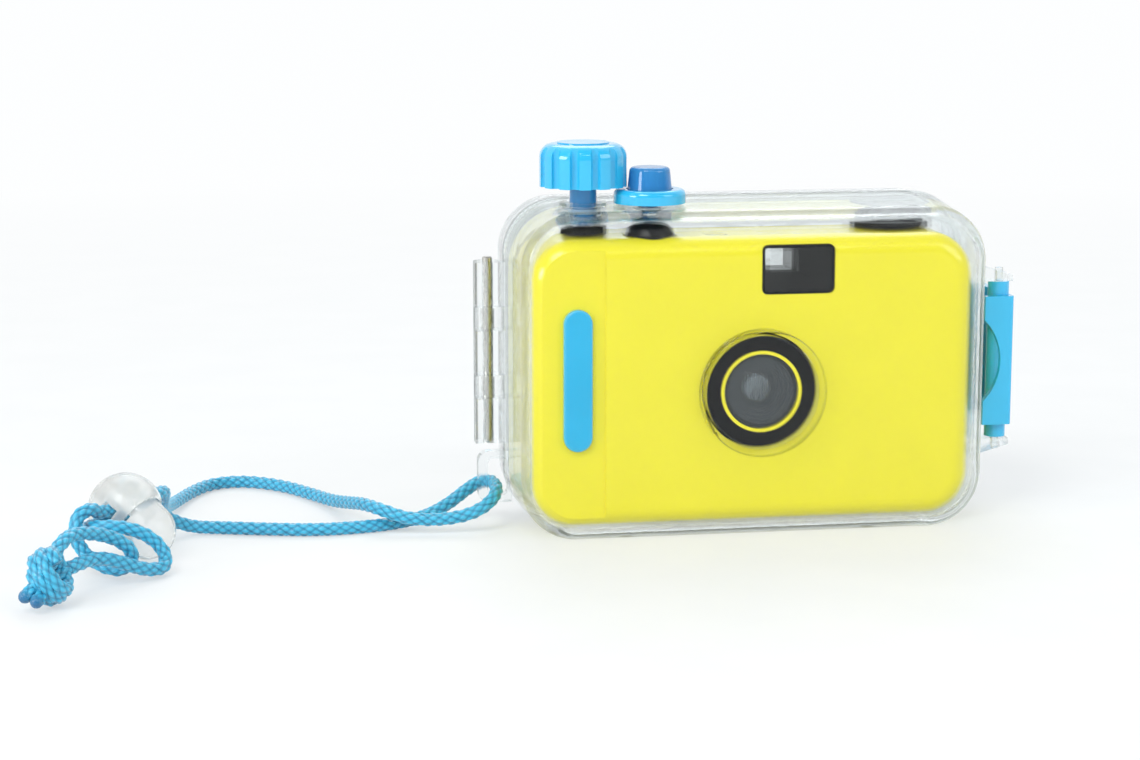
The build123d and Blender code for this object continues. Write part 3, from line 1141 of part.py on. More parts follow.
def lock_window(low, high):
    """The cross hole for the two strands, between two heights on the button axis."""
    with BuildPart() as piece:
        with BuildSketch(LOCK.offset(low)):
            Rectangle(4 * LOCK_RADIUS, 2 * LOCK_WINDOW_SIDE)
        extrude(amount=high - low)
    return piece.part


with BuildPart() as cord_lock_body:
    with Locations(LOCK):
        Sphere(LOCK_RADIUS)
    add(lock_drum(LOCK_CUT, 2 * LOCK_RADIUS, LOCK_RADIUS), mode=Mode.SUBTRACT)
    add(lock_drum(BUTTON_SEAT, LOCK_RADIUS, LOCK_BUTTON_RADIUS + LOCK_FIT), mode=Mode.SUBTRACT)
    add(lock_drum(NECK_SEAT, BUTTON_SEAT, LOCK_NECK_RADIUS + LOCK_FIT), mode=Mode.SUBTRACT)
    spring_room = LOCK_SPRING_RADIUS + LOCK_SPRING_WIRE + LOCK_FIT
    add(lock_drum(SPRING_SEAT, NECK_SEAT, spring_room), mode=Mode.SUBTRACT)
    add(lock_window(-LOCK_WINDOW, LOCK_WINDOW), mode=Mode.SUBTRACT)
save(cord_lock_body.part, "cord_lock_body")

with BuildPart() as cord_lock_button:
    add(lock_drum(-LOCK_WINDOW, LOCK_BUTTON_LENGTH - LOCK_WINDOW, LOCK_BUTTON_RADIUS))
    with Locations(LOCK.offset(LOCK_BUTTON_LENGTH - LOCK_WINDOW)):
        Sphere(LOCK_BUTTON_RADIUS)
    add(lock_drum(-LOCK_WINDOW - LOCK_NECK, -LOCK_WINDOW, LOCK_NECK_RADIUS))
    add(lock_window(-LOCK_WINDOW, LOCK_WINDOW + LOCK_TRAVEL + LOCK_FIT), mode=Mode.SUBTRACT)
save(cord_lock_button.part, "cord_lock_button")

lock_spring = coil_spring(LOCK_SPRING_RADIUS, LOCK_SPRING_WIRE, LOCK_SPRING_LENGTH, 4)
save(LOCK.offset(SPRING_SEAT).location * lock_spring, "cord_lock_spring")


def cord(points, name):
    """A round cord along straight runs, joined by arcs as large as the two runs allow."""
    runs = [Vector(end) - Vector(start) for start, end in zip(points, points[1:])]
    radii = []
    for before, after in zip(runs, runs[1:]):
        turn = radians(before.get_angle(after))
        radii.append(ARC_SHARE * min(before.length, after.length) / tan(turn / 2))
    with BuildPart() as tube:
        with BuildLine():
            route = FilletPolyline(*points, radius=radii)
        with BuildSketch(Plane(origin=points[0], z_dir=runs[0])):
            Circle(CORD_RADIUS)
        sweep(path=route)
    share = tube.part.volume / (pi * CORD_RADIUS**2 * route.length)
    print(name, "length", round(route.length, 1), "volume against section times length", round(share, 3))
    print(name, "radii", [round(radius, 1) for radius in radii])
    save(tube.part, name)


# The two strands leave the strap eye on either side of its bar, cross, and go through the lock to the knot
STRAND_FRONT = [
    (-60.1, 0.3, 9.6),
    (-60.2, -4.2, 9.2),
    (-63.4, -7.4, 6.6),
    (-68.4, -7.6, 4.4),
    (-75.4, -7.0, 3.5),
    (-82.6, -6.4, 4.0),
    (-88.4, -4.2, 5.9),
    (-92.2, 3.0, 5.9),
    (-95.0, 13.0, 4.0),
    (-98.2, 23.5, 2.2),
    (-102.6, 34.5, 1.65),
    (-109.4, 45.6, 1.65),
    (-118.6, 52.6, 1.65),
    (-127.2, 51.0, 1.65),
    (-132.8, 41.5, 1.65),
    (-136.6, 30.0, 2.0),
    (-139.2, 18.5, 3.2),
    (-140.4, 7.5, 6.2),
    (-139.9, -1.0, 10.8),
    (-139.9, -7.6, 13.3),
    (-146.8, -16.4, 12.9),
    (-154.3, -25.5, 12.3),
    (-156.4, -28.8, 14.6),
    (-159.6, -31.8, 13.6),
    (-160.3, -33.4, 9.4),
    (-158.2, -34.2, 5.2),
    (-153.8, -35.8, 2.3),
    (-149.4, -37.6, 2.0),
    (-146.9, -38.8, 5.8),
    (-149.9, -40.6, 9.6),
    (-154.4, -43.4, 12.0),
    (-159.2, -48.2, 13.6),
    (-162.6, -53.4, 13.2),
    (-164.4, -57.2, 10.4),
]
STRAND_BACK = [
    (-60.1, 0.3, 9.6),
    (-60.0, 4.8, 10.0),
    (-63.0, 6.6, 9.9),
    (-66.9, 5.0, 7.9),
    (-71.2, 2.9, 5.2),
    (-77.0, 1.0, 2.7),
    (-84.5, -1.1, 1.65),
    (-94.0, -3.8, 1.65),
    (-104.5, -4.6, 1.65),
    (-115.0, -2.0, 1.65),
    (-125.5, 1.2, 1.65),
    (-134.2, 2.4, 1.9),
    (-140.4, -2.2, 6.0),
    (-141.8, -6.7, 10.4),
    (-149.1, -15.7, 9.8),
    (-155.2, -23.4, 9.5),
    (-157.6, -28.0, 9.9),
    (-155.6, -32.0, 10.9),
    (-149.8, -32.8, 11.0),
    (-144.2, -32.4, 8.9),
    (-140.4, -32.8, 5.2),
    (-140.0, -36.4, 2.0),
    (-144.4, -40.4, 2.5),
    (-149.6, -43.8, 5.3),
    (-154.4, -46.4, 7.4),
    (-158.6, -51.0, 7.6),
    (-161.4, -55.0, 7.2),
]
cord(STRAND_FRONT, "cord_strand_front")
cord(STRAND_BACK, "cord_strand_back")

# Knot of the two ends: three wraps round a core, and two melted tails
KNOT = Plane(origin=(KNOT_X, KNOT_Y, KNOT_RADIUS), x_dir=(0.2, 0.97, -0.1), z_dir=(0.75, -0.2, 0.63))

with BuildPart() as cord_knot:
    with Locations(KNOT):
        Sphere(KNOT_RADIUS - CORD_RADIUS / 2)
    for wrap in (-1, 0, 1):
        with Locations(KNOT.offset(wrap * KNOT_WRAP_STEP)):
            Torus(KNOT_RADIUS - CORD_RADIUS - abs(wrap) * KNOT_WRAP_SHRINK, CORD_RADIUS)
    for shift in (-KNOT_TAIL_SIDE, KNOT_TAIL_SIDE):
        with BuildSketch(Plane(origin=KNOT.origin, z_dir=KNOT_TAIL_WAY)):
            with Locations((shift, 0)):
                Circle(CORD_RADIUS)
        extrude(amount=KNOT_TAIL)
save(cord_knot.part, "cord_knot")
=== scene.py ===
from math import pi, radians

import bpy
import numpy as np
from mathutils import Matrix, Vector


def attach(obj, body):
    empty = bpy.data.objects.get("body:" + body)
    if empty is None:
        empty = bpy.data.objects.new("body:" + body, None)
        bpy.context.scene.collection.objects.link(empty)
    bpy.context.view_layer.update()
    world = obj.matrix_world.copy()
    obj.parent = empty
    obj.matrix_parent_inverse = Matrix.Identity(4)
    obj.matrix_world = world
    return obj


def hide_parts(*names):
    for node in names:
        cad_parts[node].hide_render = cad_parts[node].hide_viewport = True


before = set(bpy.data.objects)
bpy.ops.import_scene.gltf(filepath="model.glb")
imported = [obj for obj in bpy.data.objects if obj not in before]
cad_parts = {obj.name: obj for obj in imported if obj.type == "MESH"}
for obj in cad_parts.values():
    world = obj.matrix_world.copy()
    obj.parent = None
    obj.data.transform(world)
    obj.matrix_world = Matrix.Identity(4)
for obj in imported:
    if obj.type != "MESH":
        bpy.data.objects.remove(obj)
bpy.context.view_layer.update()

scene = bpy.context.scene
scene.view_settings.view_transform = "Standard"

# Camera at the photograph's angle, its lens in millimetres and its angles in degrees
SENSOR_WIDTH = 36
LENS_LENGTH = 82.1
CAMERA_PLACE = (-0.14425, -0.61205, 0.14818)
CAMERA_TILT = 79.7
CAMERA_TURN = -9.5
camera_data = bpy.data.cameras.new("photo_camera")
camera_data.sensor_width = SENSOR_WIDTH
camera_data.lens = LENS_LENGTH
camera = bpy.data.objects.new("photo_camera", camera_data)
camera.location = CAMERA_PLACE
camera.rotation_euler = (radians(CAMERA_TILT), 0, radians(CAMERA_TURN))
scene.collection.objects.link(camera)
scene.camera = camera

# Wrist cord, in metres: its braid, how high a strand still is where it dips under, and the melted ends
CORD_RADIUS = 0.00165
BRAID_RELIEF = 0.00048
BRAID_STRANDS = 5
BRAID_PITCH = 0.0028
STRAND_LOW = 0.45
FIBRES_ACROSS = 9
MELTED_LENGTH = 0.0022
MELTED_HEIGHT = 0.6

# How finely the cord is divided, and a direction that no strand starts along
CORD_STEP = 0.0003
CORD_AROUND = 45
ROUTE_POINTS = 24
FIRST_SIDE = (0.13, 0.31, 0.94)

# The route of its two strands from the strap eye to the knot
STRAND_FRONT = [
    (-0.0601, 0.0003, 0.0096),
    (-0.0602, -0.0042, 0.0092),
    (-0.0634, -0.0074, 0.0066),
    (-0.0684, -0.0076, 0.0044),
    (-0.0754, -0.007, 0.0035),
    (-0.0826, -0.0064, 0.004),
    (-0.0884, -0.0042, 0.0059),
    (-0.0922, 0.003, 0.0059),
    (-0.095, 0.013, 0.004),
    (-0.0982, 0.0235, 0.0022),
    (-0.1026, 0.0345, 0.00165),
    (-0.1094, 0.0456, 0.00165),
    (-0.1186, 0.0526, 0.00165),
    (-0.1272, 0.051, 0.00165),
    (-0.1328, 0.0415, 0.00165),
    (-0.1366, 0.03, 0.002),
    (-0.1392, 0.0185, 0.0032),
    (-0.1404, 0.0075, 0.0062),
    (-0.1399, -0.001, 0.0108),
    (-0.1399, -0.0076, 0.0133),
    (-0.1468, -0.0164, 0.0129),
    (-0.1543, -0.0255, 0.0123),
    (-0.1564, -0.0288, 0.0146),
    (-0.1596, -0.0318, 0.0136),
    (-0.1603, -0.0334, 0.0094),
    (-0.1582, -0.0342, 0.0052),
    (-0.1538, -0.0358, 0.0023),
    (-0.1494, -0.0376, 0.002),
    (-0.1469, -0.0388, 0.0058),
    (-0.1499, -0.0406, 0.0096),
    (-0.1544, -0.0434, 0.012),
    (-0.1592, -0.0482, 0.0136),
    (-0.1626, -0.0534, 0.0132),
    (-0.1644, -0.0572, 0.0104),
]
STRAND_BACK = [
    (-0.0601, 0.0003, 0.0096),
    (-0.06, 0.0048, 0.01),
    (-0.063, 0.0066, 0.0099),
    (-0.0669, 0.005, 0.0079),
    (-0.0712, 0.0029, 0.0052),
    (-0.077, 0.001, 0.0027),
    (-0.0845, -0.0011, 0.00165),
    (-0.094, -0.0038, 0.00165),
    (-0.1045, -0.0046, 0.00165),
    (-0.115, -0.002, 0.00165),
    (-0.1255, 0.0012, 0.00165),
    (-0.1342, 0.0024, 0.0019),
    (-0.1404, -0.0022, 0.006),
    (-0.1418, -0.0067, 0.0104),
    (-0.1491, -0.0157, 0.0098),
    (-0.1552, -0.0234, 0.0095),
    (-0.1576, -0.028, 0.0099),
    (-0.1556, -0.032, 0.0109),
    (-0.1498, -0.0328, 0.011),
    (-0.1442, -0.0324, 0.0089),
    (-0.1404, -0.0328, 0.0052),
    (-0.14, -0.0364, 0.002),
    (-0.1444, -0.0404, 0.0025),
    (-0.1496, -0.0438, 0.0053),
    (-0.1544, -0.0464, 0.0074),
    (-0.1586, -0.051, 0.0076),
    (-0.1614, -0.055, 0.0072),
]

# The knot's middle and axis, its wraps, and the ends of the two strands, which come out of it melted
KNOT_MIDDLE = np.array((-0.165, -0.059, 0.0069))
KNOT_AXIS = np.array((0.75, -0.2, 0.63))
KNOT_TURNS = 3.1
KNOT_WIDTH = 0.0062
KNOT_RADIUS = 0.0047
KNOT_DRAWN_IN = 0.0016
KNOT_LEAN = 0.0011
KNOT_LEAN_TURN = 0.9
KNOT_START = 0.6
KNOT_SIDE = (0.2, 0.97, -0.1)
KNOT_POINTS = 400
THROUGH_FRONT = [
    (-0.1644, -0.0572, 0.0104),
    (-0.1652, -0.0585, 0.0085),
    (-0.1668, -0.0604, 0.0062),
    (-0.1694, -0.063, 0.0042),
    (-0.1712, -0.0646, 0.0031),
]
THROUGH_BACK = [
    (-0.1614, -0.055, 0.0072),
    (-0.163, -0.0566, 0.0064),
    (-0.1655, -0.0592, 0.0048),
    (-0.1672, -0.0634, 0.0034),
    (-0.1682, -0.0664, 0.0024),
]


def centre_line(points, name):
    """Evenly spaced points along the smooth NURBS spline that has these control points."""
    curve = bpy.data.curves.new(name, "CURVE")
    curve.dimensions = "3D"
    curve.resolution_u = ROUTE_POINTS
    spline = curve.splines.new("NURBS")
    spline.points.add(len(points) - 1)
    for place, point in zip(spline.points, points):
        place.co = (*point, 1.0)
    spline.order_u = 3
    spline.use_endpoint_u = True
    guide = bpy.data.objects.new(name, curve)
    read = bpy.data.meshes.new_from_object(guide)
    line = np.array([vertex.co for vertex in read.vertices])
    bpy.data.objects.remove(guide)
    bpy.data.meshes.remove(read)
    return spaced(line)


def spaced(line):
    """The same line with its points one step apart."""
    runs = np.linalg.norm(np.diff(line, axis=0), axis=1)
    along = np.concatenate([[0], np.cumsum(runs)])
    marks = np.linspace(0, along[-1], round(along[-1] / CORD_STEP) + 1)
    return np.stack([np.interp(marks, along, line[:, axis]) for axis in range(3)], axis=1)


def unit(vectors):
    """The same directions, each one long."""
    return vectors / np.linalg.norm(vectors, axis=-1, keepdims=True)


def sides(line):
    """Two directions across the line at each point, which turn with it and never twist about it."""
    tangent = unit(np.gradient(line, axis=0))
    first = np.zeros_like(line)
    turned = np.cross(tangent[0], FIRST_SIDE)
    for index, way in enumerate(tangent):
        turned = turned - turned.dot(way) * way
        turned = turned / np.linalg.norm(turned)
        first[index] = turned
    return first, np.cross(tangent, first)


def braid(line, name, melted=0.0):
    """A braided tube along a line: strands that run both ways round and pass over and under each other.

    Its last stretch, as long as melted says, is smooth and ends in a dome. For the material, the mesh keeps
    how far each point is raised and melted, and its place in the yarn.
    """
    first, second = sides(line)
    count = len(line)
    turn = np.arange(CORD_AROUND) / CORD_AROUND
    along = np.arange(count)[:, None] * CORD_STEP
    one = turn * BRAID_STRANDS + along / BRAID_PITCH
    other = turn * BRAID_STRANDS - along / BRAID_PITCH
    over = (np.floor(one) + np.floor(other)) % 2 == 1
    across = np.where(over, one % 1, other % 1)
    lengthwise = np.where(over, other % 1, one % 1)
    rise = STRAND_LOW + (1 - STRAND_LOW) * np.sin(pi * lengthwise)
    bulge = np.sqrt(1 - (2 * across - 1) ** 2) * rise
    left = along[-1] - along
    melt = np.clip(1 - left / melted, 0, 1) ** 0.5 if melted else np.zeros_like(along)
    height = bulge * (1 - melt) + MELTED_HEIGHT * melt
    radius = CORD_RADIUS - BRAID_RELIEF * (1 - height)
    if melted:
        radius = radius * np.sqrt(np.clip(1 - (1 - left / CORD_RADIUS).clip(0) ** 2, 0.02, 1))
    angle = (2 * pi * turn)[None, :, None]
    ring = np.cos(angle) * first[:, None, :] + np.sin(angle) * second[:, None, :]
    places = line[:, None, :] + radius[:, :, None] * ring
    index = np.arange(count * CORD_AROUND).reshape(count, CORD_AROUND)
    near = index[:-1]
    far = index[1:]
    quads = np.stack([near, np.roll(near, -1, axis=1), np.roll(far, -1, axis=1), far], axis=-1)
    faces = [tuple(map(int, face)) for face in quads.reshape(-1, 4)]
    faces.append(tuple(map(int, index[0][::-1])))
    faces.append(tuple(map(int, index[-1])))
    mesh = bpy.data.meshes.new(name)
    mesh.from_pydata(places.reshape(-1, 3).tolist(), [], faces)
    mesh.polygons.foreach_set("use_smooth", np.ones(len(mesh.polygons), dtype=bool))
    for mark, values in (("raised", height), ("melt", np.broadcast_to(melt, height.shape))):
        kept = mesh.attributes.new(mark, "FLOAT", "POINT")
        kept.data.foreach_set("value", values.astype(np.float32).ravel())
    cell = np.floor(one) + 3 * np.floor(other)
    fibres = np.stack([across * FIBRES_ACROSS, lengthwise + 7 * over, cell], axis=-1)
    yarn = mesh.attributes.new("yarn", "FLOAT_VECTOR", "POINT")
    yarn.data.foreach_set("vector", fibres.astype(np.float32).ravel())
    made = bpy.data.objects.new(name, mesh)
    scene.collection.objects.link(made)
    return made


def knot_wraps():
    """The line that the cord follows round its own two ends: a barrel with its ends drawn in."""
    axis = unit(KNOT_AXIS)
    across = unit(np.cross(axis, KNOT_SIDE))
    upright = np.cross(axis, across)
    share = np.linspace(0, 1, KNOT_POINTS)
    angle = 2 * pi * KNOT_TURNS * share + KNOT_START
    lean = KNOT_LEAN * np.sin(angle + KNOT_LEAN_TURN)
    reach = KNOT_RADIUS - KNOT_DRAWN_IN * np.abs(2 * share - 1) ** 3
    line = KNOT_MIDDLE + np.outer((share - 0.5) * KNOT_WIDTH + lean, axis)
    line = line + np.outer(reach * np.cos(angle), across) + np.outer(reach * np.sin(angle), upright)
    return spaced(line)


front_line = centre_line(STRAND_FRONT, "front_route")
back_line = centre_line(STRAND_BACK, "back_route")
strand_front = braid(front_line, "braided_strand_front")
strand_back = braid(back_line, "braided_strand_back")
knot = braid(knot_wraps(), "braided_knot")
tail_front = braid(centre_line(THROUGH_FRONT, "front_end"), "braided_tail_front", melted=MELTED_LENGTH)
tail_back = braid(centre_line(THROUGH_BACK, "back_end"), "braided_tail_back", melted=MELTED_LENGTH)
CORD_PIECES = (strand_front, strand_back, knot, tail_front, tail_back)

BODY = "case_and_camera"
for piece in CORD_PIECES:
    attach(piece, BODY)
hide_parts("cord_strand_front")
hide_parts("cord_strand_back")
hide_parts("cord_knot")


# Materials. Colours are linear, as the shader reads them, and lengths, such as the sizes of spots, in metres
CLOUD_SIZE = 0.012
SMUDGE_SIZE = 0.004
HAZE_SIZE = 0.009
RIPPLE_SIZE = 0.006
METAL_LINE = 0.00015
METAL_STRETCH = (1, 1, 0.05)
METAL_RELIEF = 0.000004
FIBRE_RELIEF = 0.00006
PLASTIC_IOR = 1.5
COAT_ROUGHNESS = 0.06


def start_material(name):
    """A new material with its nodes, links and main shader."""
    made = bpy.data.materials.new(name)
    made.use_nodes = True
    nodes = made.node_tree.nodes
    return made, nodes, made.node_tree.links, nodes["Principled BSDF"]


def position(nodes):
    """Each point's place in the object's own metres."""
    return nodes.new("ShaderNodeTexCoord").outputs["Object"]


def noise(nodes, links, size, detail=2.0, vector=None):
    """Noise whose lumps are about this size across."""
    made = nodes.new("ShaderNodeTexNoise")
    made.inputs["Scale"].default_value = 1 / size
    made.inputs["Detail"].default_value = detail
    links.new(vector or position(nodes), made.inputs["Vector"])
    return made.outputs["Fac"]


def ranged(nodes, links, value, low, high, start=0.35, end=0.65):
    """A value that goes from low to high while the one given goes from start to end."""
    made = nodes.new("ShaderNodeMapRange")
    made.inputs["From Min"].default_value = start
    made.inputs["From Max"].default_value = end
    made.inputs["To Min"].default_value = low
    made.inputs["To Max"].default_value = high
    links.new(value, made.inputs["Value"])
    return made.outputs["Result"]


def mixed(nodes, links, value, dark, light):
    """A colour between two, by a value from 0 to 1."""
    made = nodes.new("ShaderNodeMix")
    made.data_type = "RGBA"
    made.inputs["A"].default_value = (*dark, 1)
    made.inputs["B"].default_value = (*light, 1)
    links.new(value, made.inputs["Factor"])
    return made.outputs["Result"]


def calculated(nodes, links, operation, *values):
    """The result of a sum on numbers and the outputs of other nodes."""
    made = nodes.new("ShaderNodeMath")
    made.operation = operation
    for place, value in zip(made.inputs, values):
        if isinstance(value, float):
            place.default_value = value
        else:
            links.new(value, place)
    return made.outputs["Value"]


def blended(nodes, links, share, first, second):
    """Two shaders mixed; the share is the second one's."""
    made = nodes.new("ShaderNodeMixShader")
    links.new(share, made.inputs["Fac"])
    links.new(first, made.inputs[1])
    links.new(second, made.inputs[2])
    return made.outputs["Shader"]


def bumped(nodes, links, shader, value, depth):
    """A fine relief on the shader's surface, this deep in metres."""
    made = nodes.new("ShaderNodeBump")
    made.inputs["Strength"].default_value = 1.0
    made.inputs["Distance"].default_value = depth
    links.new(value, made.inputs["Height"])
    links.new(made.outputs["Normal"], shader.inputs["Normal"])


def moulded(name, colour, roughness, spread, grain, depth, drift, coat=0.0, shine=0.5):
    """Moulded plastic: a fine grain, smudged gloss and a colour that drifts a little."""
    made, nodes, links, shader = start_material(name)
    cloud = noise(nodes, links, CLOUD_SIZE, 3)
    light = tuple(min(1, value * (1 + drift)) for value in colour)
    dark = tuple(value * (1 - drift) for value in colour)
    drifting = ranged(nodes, links, cloud, 0, 1)
    links.new(mixed(nodes, links, drifting, dark, light), shader.inputs["Base Color"])
    smudge = noise(nodes, links, SMUDGE_SIZE, 4)
    gloss = ranged(nodes, links, smudge, roughness - spread, roughness + spread)
    links.new(gloss, shader.inputs["Roughness"])
    bumped(nodes, links, shader, noise(nodes, links, grain, 2), depth)
    shader.inputs["IOR"].default_value = PLASTIC_IOR
    shader.inputs["Specular IOR Level"].default_value = shine
    shader.inputs["Coat Weight"].default_value = coat
    shader.inputs["Coat Roughness"].default_value = COAT_ROUGHNESS
    return made


def let_light_in(nodes, links, shader, tint, straight):
    """Lamps and bounced light pass straight through, so that what is behind the plastic is lit.

    A share of the view passes straight through as well, which softens the dark lines of a thin wall.
    """
    path = nodes.new("ShaderNodeLightPath").outputs
    light = calculated(nodes, links, "MAXIMUM", path["Is Shadow Ray"], path["Is Diffuse Ray"])
    share = calculated(nodes, links, "MAXIMUM", light, straight)
    through = nodes.new("ShaderNodeBsdfTransparent")
    through.inputs["Color"].default_value = (*tint, 1)
    surface = blended(nodes, links, share, shader.outputs["BSDF"], through.outputs["BSDF"])
    links.new(surface, nodes["Material Output"].inputs["Surface"])


def clear(name, colour, ior, smooth, hazy, tint, ripple=0.000004, weight=1.0, shine=0.5, straight=0.0):
    """See-through plastic or glass with faint smudges and the slight waviness of a moulding."""
    made, nodes, links, shader = start_material(name)
    shader.inputs["Base Color"].default_value = (*colour, 1)
    shader.inputs["Transmission Weight"].default_value = weight
    shader.inputs["IOR"].default_value = ior
    shader.inputs["Specular IOR Level"].default_value = shine
    smudge = noise(nodes, links, HAZE_SIZE, 4)
    links.new(ranged(nodes, links, smudge, smooth, hazy, 0.5, 0.8), shader.inputs["Roughness"])
    bumped(nodes, links, shader, noise(nodes, links, RIPPLE_SIZE, 1), ripple)
    let_light_in(nodes, links, shader, tint, straight)
    return made


def metal(name, colour, roughness):
    """Drawn or brushed metal: fine upright lines."""
    made, nodes, links, shader = start_material(name)
    shader.inputs["Metallic"].default_value = 1.0
    scale = nodes.new("ShaderNodeMapping")
    scale.inputs["Scale"].default_value = METAL_STRETCH
    links.new(position(nodes), scale.inputs["Vector"])
    lines = noise(nodes, links, METAL_LINE, 2, scale.outputs["Vector"])
    dark = tuple(value * 0.8 for value in colour)
    bright = ranged(nodes, links, lines, 0, 1)
    links.new(mixed(nodes, links, bright, dark, colour), shader.inputs["Base Color"])
    links.new(ranged(nodes, links, lines, roughness - 0.08, roughness + 0.1), shader.inputs["Roughness"])
    bumped(nodes, links, shader, lines, METAL_RELIEF)
    return made


# The cord's yarn in painted shade between the strands and with painted light on top of them, the shade
# between its fibres, and its melted ends
YARN_IN_PAINTED_SHADE = (0.004, 0.16, 0.34)
YARN_PAINTED_LIT = (0.055, 0.54, 0.82)
FIBRE_SHADE = (0.72, 0.74, 0.76)
MELTED_BLUE = (0.01, 0.13, 0.3)


def marked(nodes, mark):
    """What the braid's mesh keeps under this name."""
    made = nodes.new("ShaderNodeAttribute")
    made.attribute_name = mark
    return made


def braided_cord(name):
    """Polyester yarn with painted light on top of each strand and painted shade in the dips between strands,
    with fibres along it and melted ends.
    """
    made, nodes, links, shader = start_material(name)
    raised = marked(nodes, "raised").outputs["Fac"]
    melt = marked(nodes, "melt").outputs["Fac"]
    fibres = noise(nodes, links, 0.7, 3, marked(nodes, "yarn").outputs["Vector"])
    # Painted shade and light: the yarn is darker where the braid dips and lighter on top of each strand, by
    # its height
    strand_painted_light_and_shade = mixed(nodes, links, ranged(nodes, links, raised, 0, 1, 0.1, 0.85), YARN_IN_PAINTED_SHADE, YARN_PAINTED_LIT)
    shading = mixed(nodes, links, ranged(nodes, links, fibres, 0, 1, 0.3, 0.7), FIBRE_SHADE, (1, 1, 1))
    shade = nodes.new("ShaderNodeMix")
    shade.data_type = "RGBA"
    shade.blend_type = "MULTIPLY"
    shade.inputs["Factor"].default_value = 1.0
    links.new(strand_painted_light_and_shade, shade.inputs["A"])
    links.new(shading, shade.inputs["B"])
    end = nodes.new("ShaderNodeMix")
    end.data_type = "RGBA"
    end.inputs["B"].default_value = (*MELTED_BLUE, 1)
    links.new(melt, end.inputs["Factor"])
    links.new(shade.outputs["Result"], end.inputs["A"])
    links.new(end.outputs["Result"], shader.inputs["Base Color"])
    links.new(ranged(nodes, links, melt, 0.34, 0.2, 0, 1), shader.inputs["Roughness"])
    bumped(nodes, links, shader, fibres, FIBRE_RELIEF)
    shader.inputs["Coat Weight"].default_value = 0.35
    shader.inputs["Coat Roughness"].default_value = 0.22
    shader.inputs["Sheen Weight"].default_value = 0.25
    shader.inputs["Sheen Roughness"].default_value = 0.4
    return made


# Colour, roughness and its spread, grain, relief and drift of colour
YELLOW = moulded("satin_yellow", (0.93, 0.79, 0.012), 0.2, 0.02, 0.0006, 0.000004, 0.012, coat=0.5)
BLUE = moulded("sky_blue_plastic", (0.03, 0.47, 0.8), 0.16, 0.05, 0.0005, 0.000005, 0.03, coat=0.6)
BLACK = moulded("black_plastic", (0.006, 0.006, 0.007), 0.4, 0.08, 0.00035, 0.00002, 0.2, shine=0.2)
INK = (0.003, 0.003, 0.004)
GLOSS_BLACK = moulded("gloss_black_plastic", INK, 0.12, 0.05, 0.0005, 0.000004, 0.2, shine=0.2)
SLATE = (0.034, 0.038, 0.042)
DARK_GREY = moulded("dark_grey_plastic", SLATE, 0.35, 0.06, 0.0004, 0.00001, 0.1, shine=0.25)

# Colour, index of refraction, least and most roughness, and the tint of the light that it lets in
CLEAR = clear("clear_case_plastic", (0.965, 0.98, 0.985), 1.3, 0.0, 0.05, (0.93, 0.95, 0.95), straight=0.35)
GLASS = clear("coated_glass", (0.86, 0.9, 0.93), 1.52, 0.0, 0.03, (0.8, 0.84, 0.86), shine=0.25)
PANE = clear("finder_pane", (0.99, 1.0, 1.0), 1.3, 0.0, 0.02, (0.96, 0.98, 0.98), shine=0.15)
PALE = (0.86, 0.89, 0.9)
SILICONE = clear("pale_silicone", PALE, 1.41, 0.3, 0.45, (0.6, 0.62, 0.63), ripple=0.00001, weight=0.3)
CREAM = (0.94, 0.94, 0.92)
MILKY = clear("milky_plastic", CREAM, 1.3, 0.16, 0.3, (0.75, 0.77, 0.78), ripple=0.00002, weight=0.72)
# The plunger's own see-through blue; on the winding shaft this darker blue is painted shade from the knob
# above it
DEEP = (0.05, 0.29, 0.62)
BLUE_SEE_THROUGH_AND_SHAFT_SHADE = clear("blue_see_through_plastic_and_shaft_shade", DEEP, 1.49, 0.06, 0.16, (0.15, 0.4, 0.7), weight=0.3)
STEEL = metal("brushed_steel", (0.62, 0.6, 0.57), 0.28)
CORD = braided_cord("braided_polyester")

LOOKS = {
    "case_front_shell": CLEAR,
    "case_back_cover": CLEAR,
    "counter_window": PANE,
    "viewfinder_window": PANE,
    "viewfinder_eyepiece": PANE,
    "case_gasket": SILICONE,
    "camera_front_cover": YELLOW,
    "lens_trim_ring": YELLOW,
    "winding_knob": BLUE,
    # Painted shade: the shaft wears the darker see-through blue because it sits in the knob's shadow
    "winding_shaft": BLUE_SEE_THROUGH_AND_SHAFT_SHADE,
    "shutter_collar": BLUE,
    "latch_lever": BLUE,
    "camera_grip_bar": BLUE,
    "shutter_plunger": BLUE_SEE_THROUGH_AND_SHAFT_SHADE,
    "lens_bezel_ring": GLOSS_BLACK,
    "camera_shutter_button": GLOSS_BLACK,
    "lens_window": GLASS,
    "front_lens": GLASS,
    "rear_lens": GLASS,
    "winding_seal": SILICONE,
    "shutter_seal": SILICONE,
    "lens_barrel": DARK_GREY,
    "viewfinder_funnel": GLOSS_BLACK,
    "latch_pin": CLEAR,
    "frame_counter_dial": MILKY,
    "cord_lock_body": MILKY,
    "cord_lock_button": MILKY,
}
STEEL_PIECES = {
    "hinge_pin",
    "winding_clip",
    "shutter_return_spring",
    "camera_button_spring",
    "shutter_blade",
    "shutter_pin",
    "door_hinge_pin",
    "pressure_spring",
    "camera_screws",
    "cord_lock_spring",
}


def wear(piece, look):
    """Puts a material on every slot of a piece."""
    if not piece.material_slots:
        piece.data.materials.append(look)
    for place in piece.material_slots:
        place.link = "OBJECT"
        place.material = look


for name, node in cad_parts.items():
    wear(node, LOOKS.get(name, STEEL if name in STEEL_PIECES else BLACK))
for piece in CORD_PIECES:
    piece.data.materials.append(CORD)

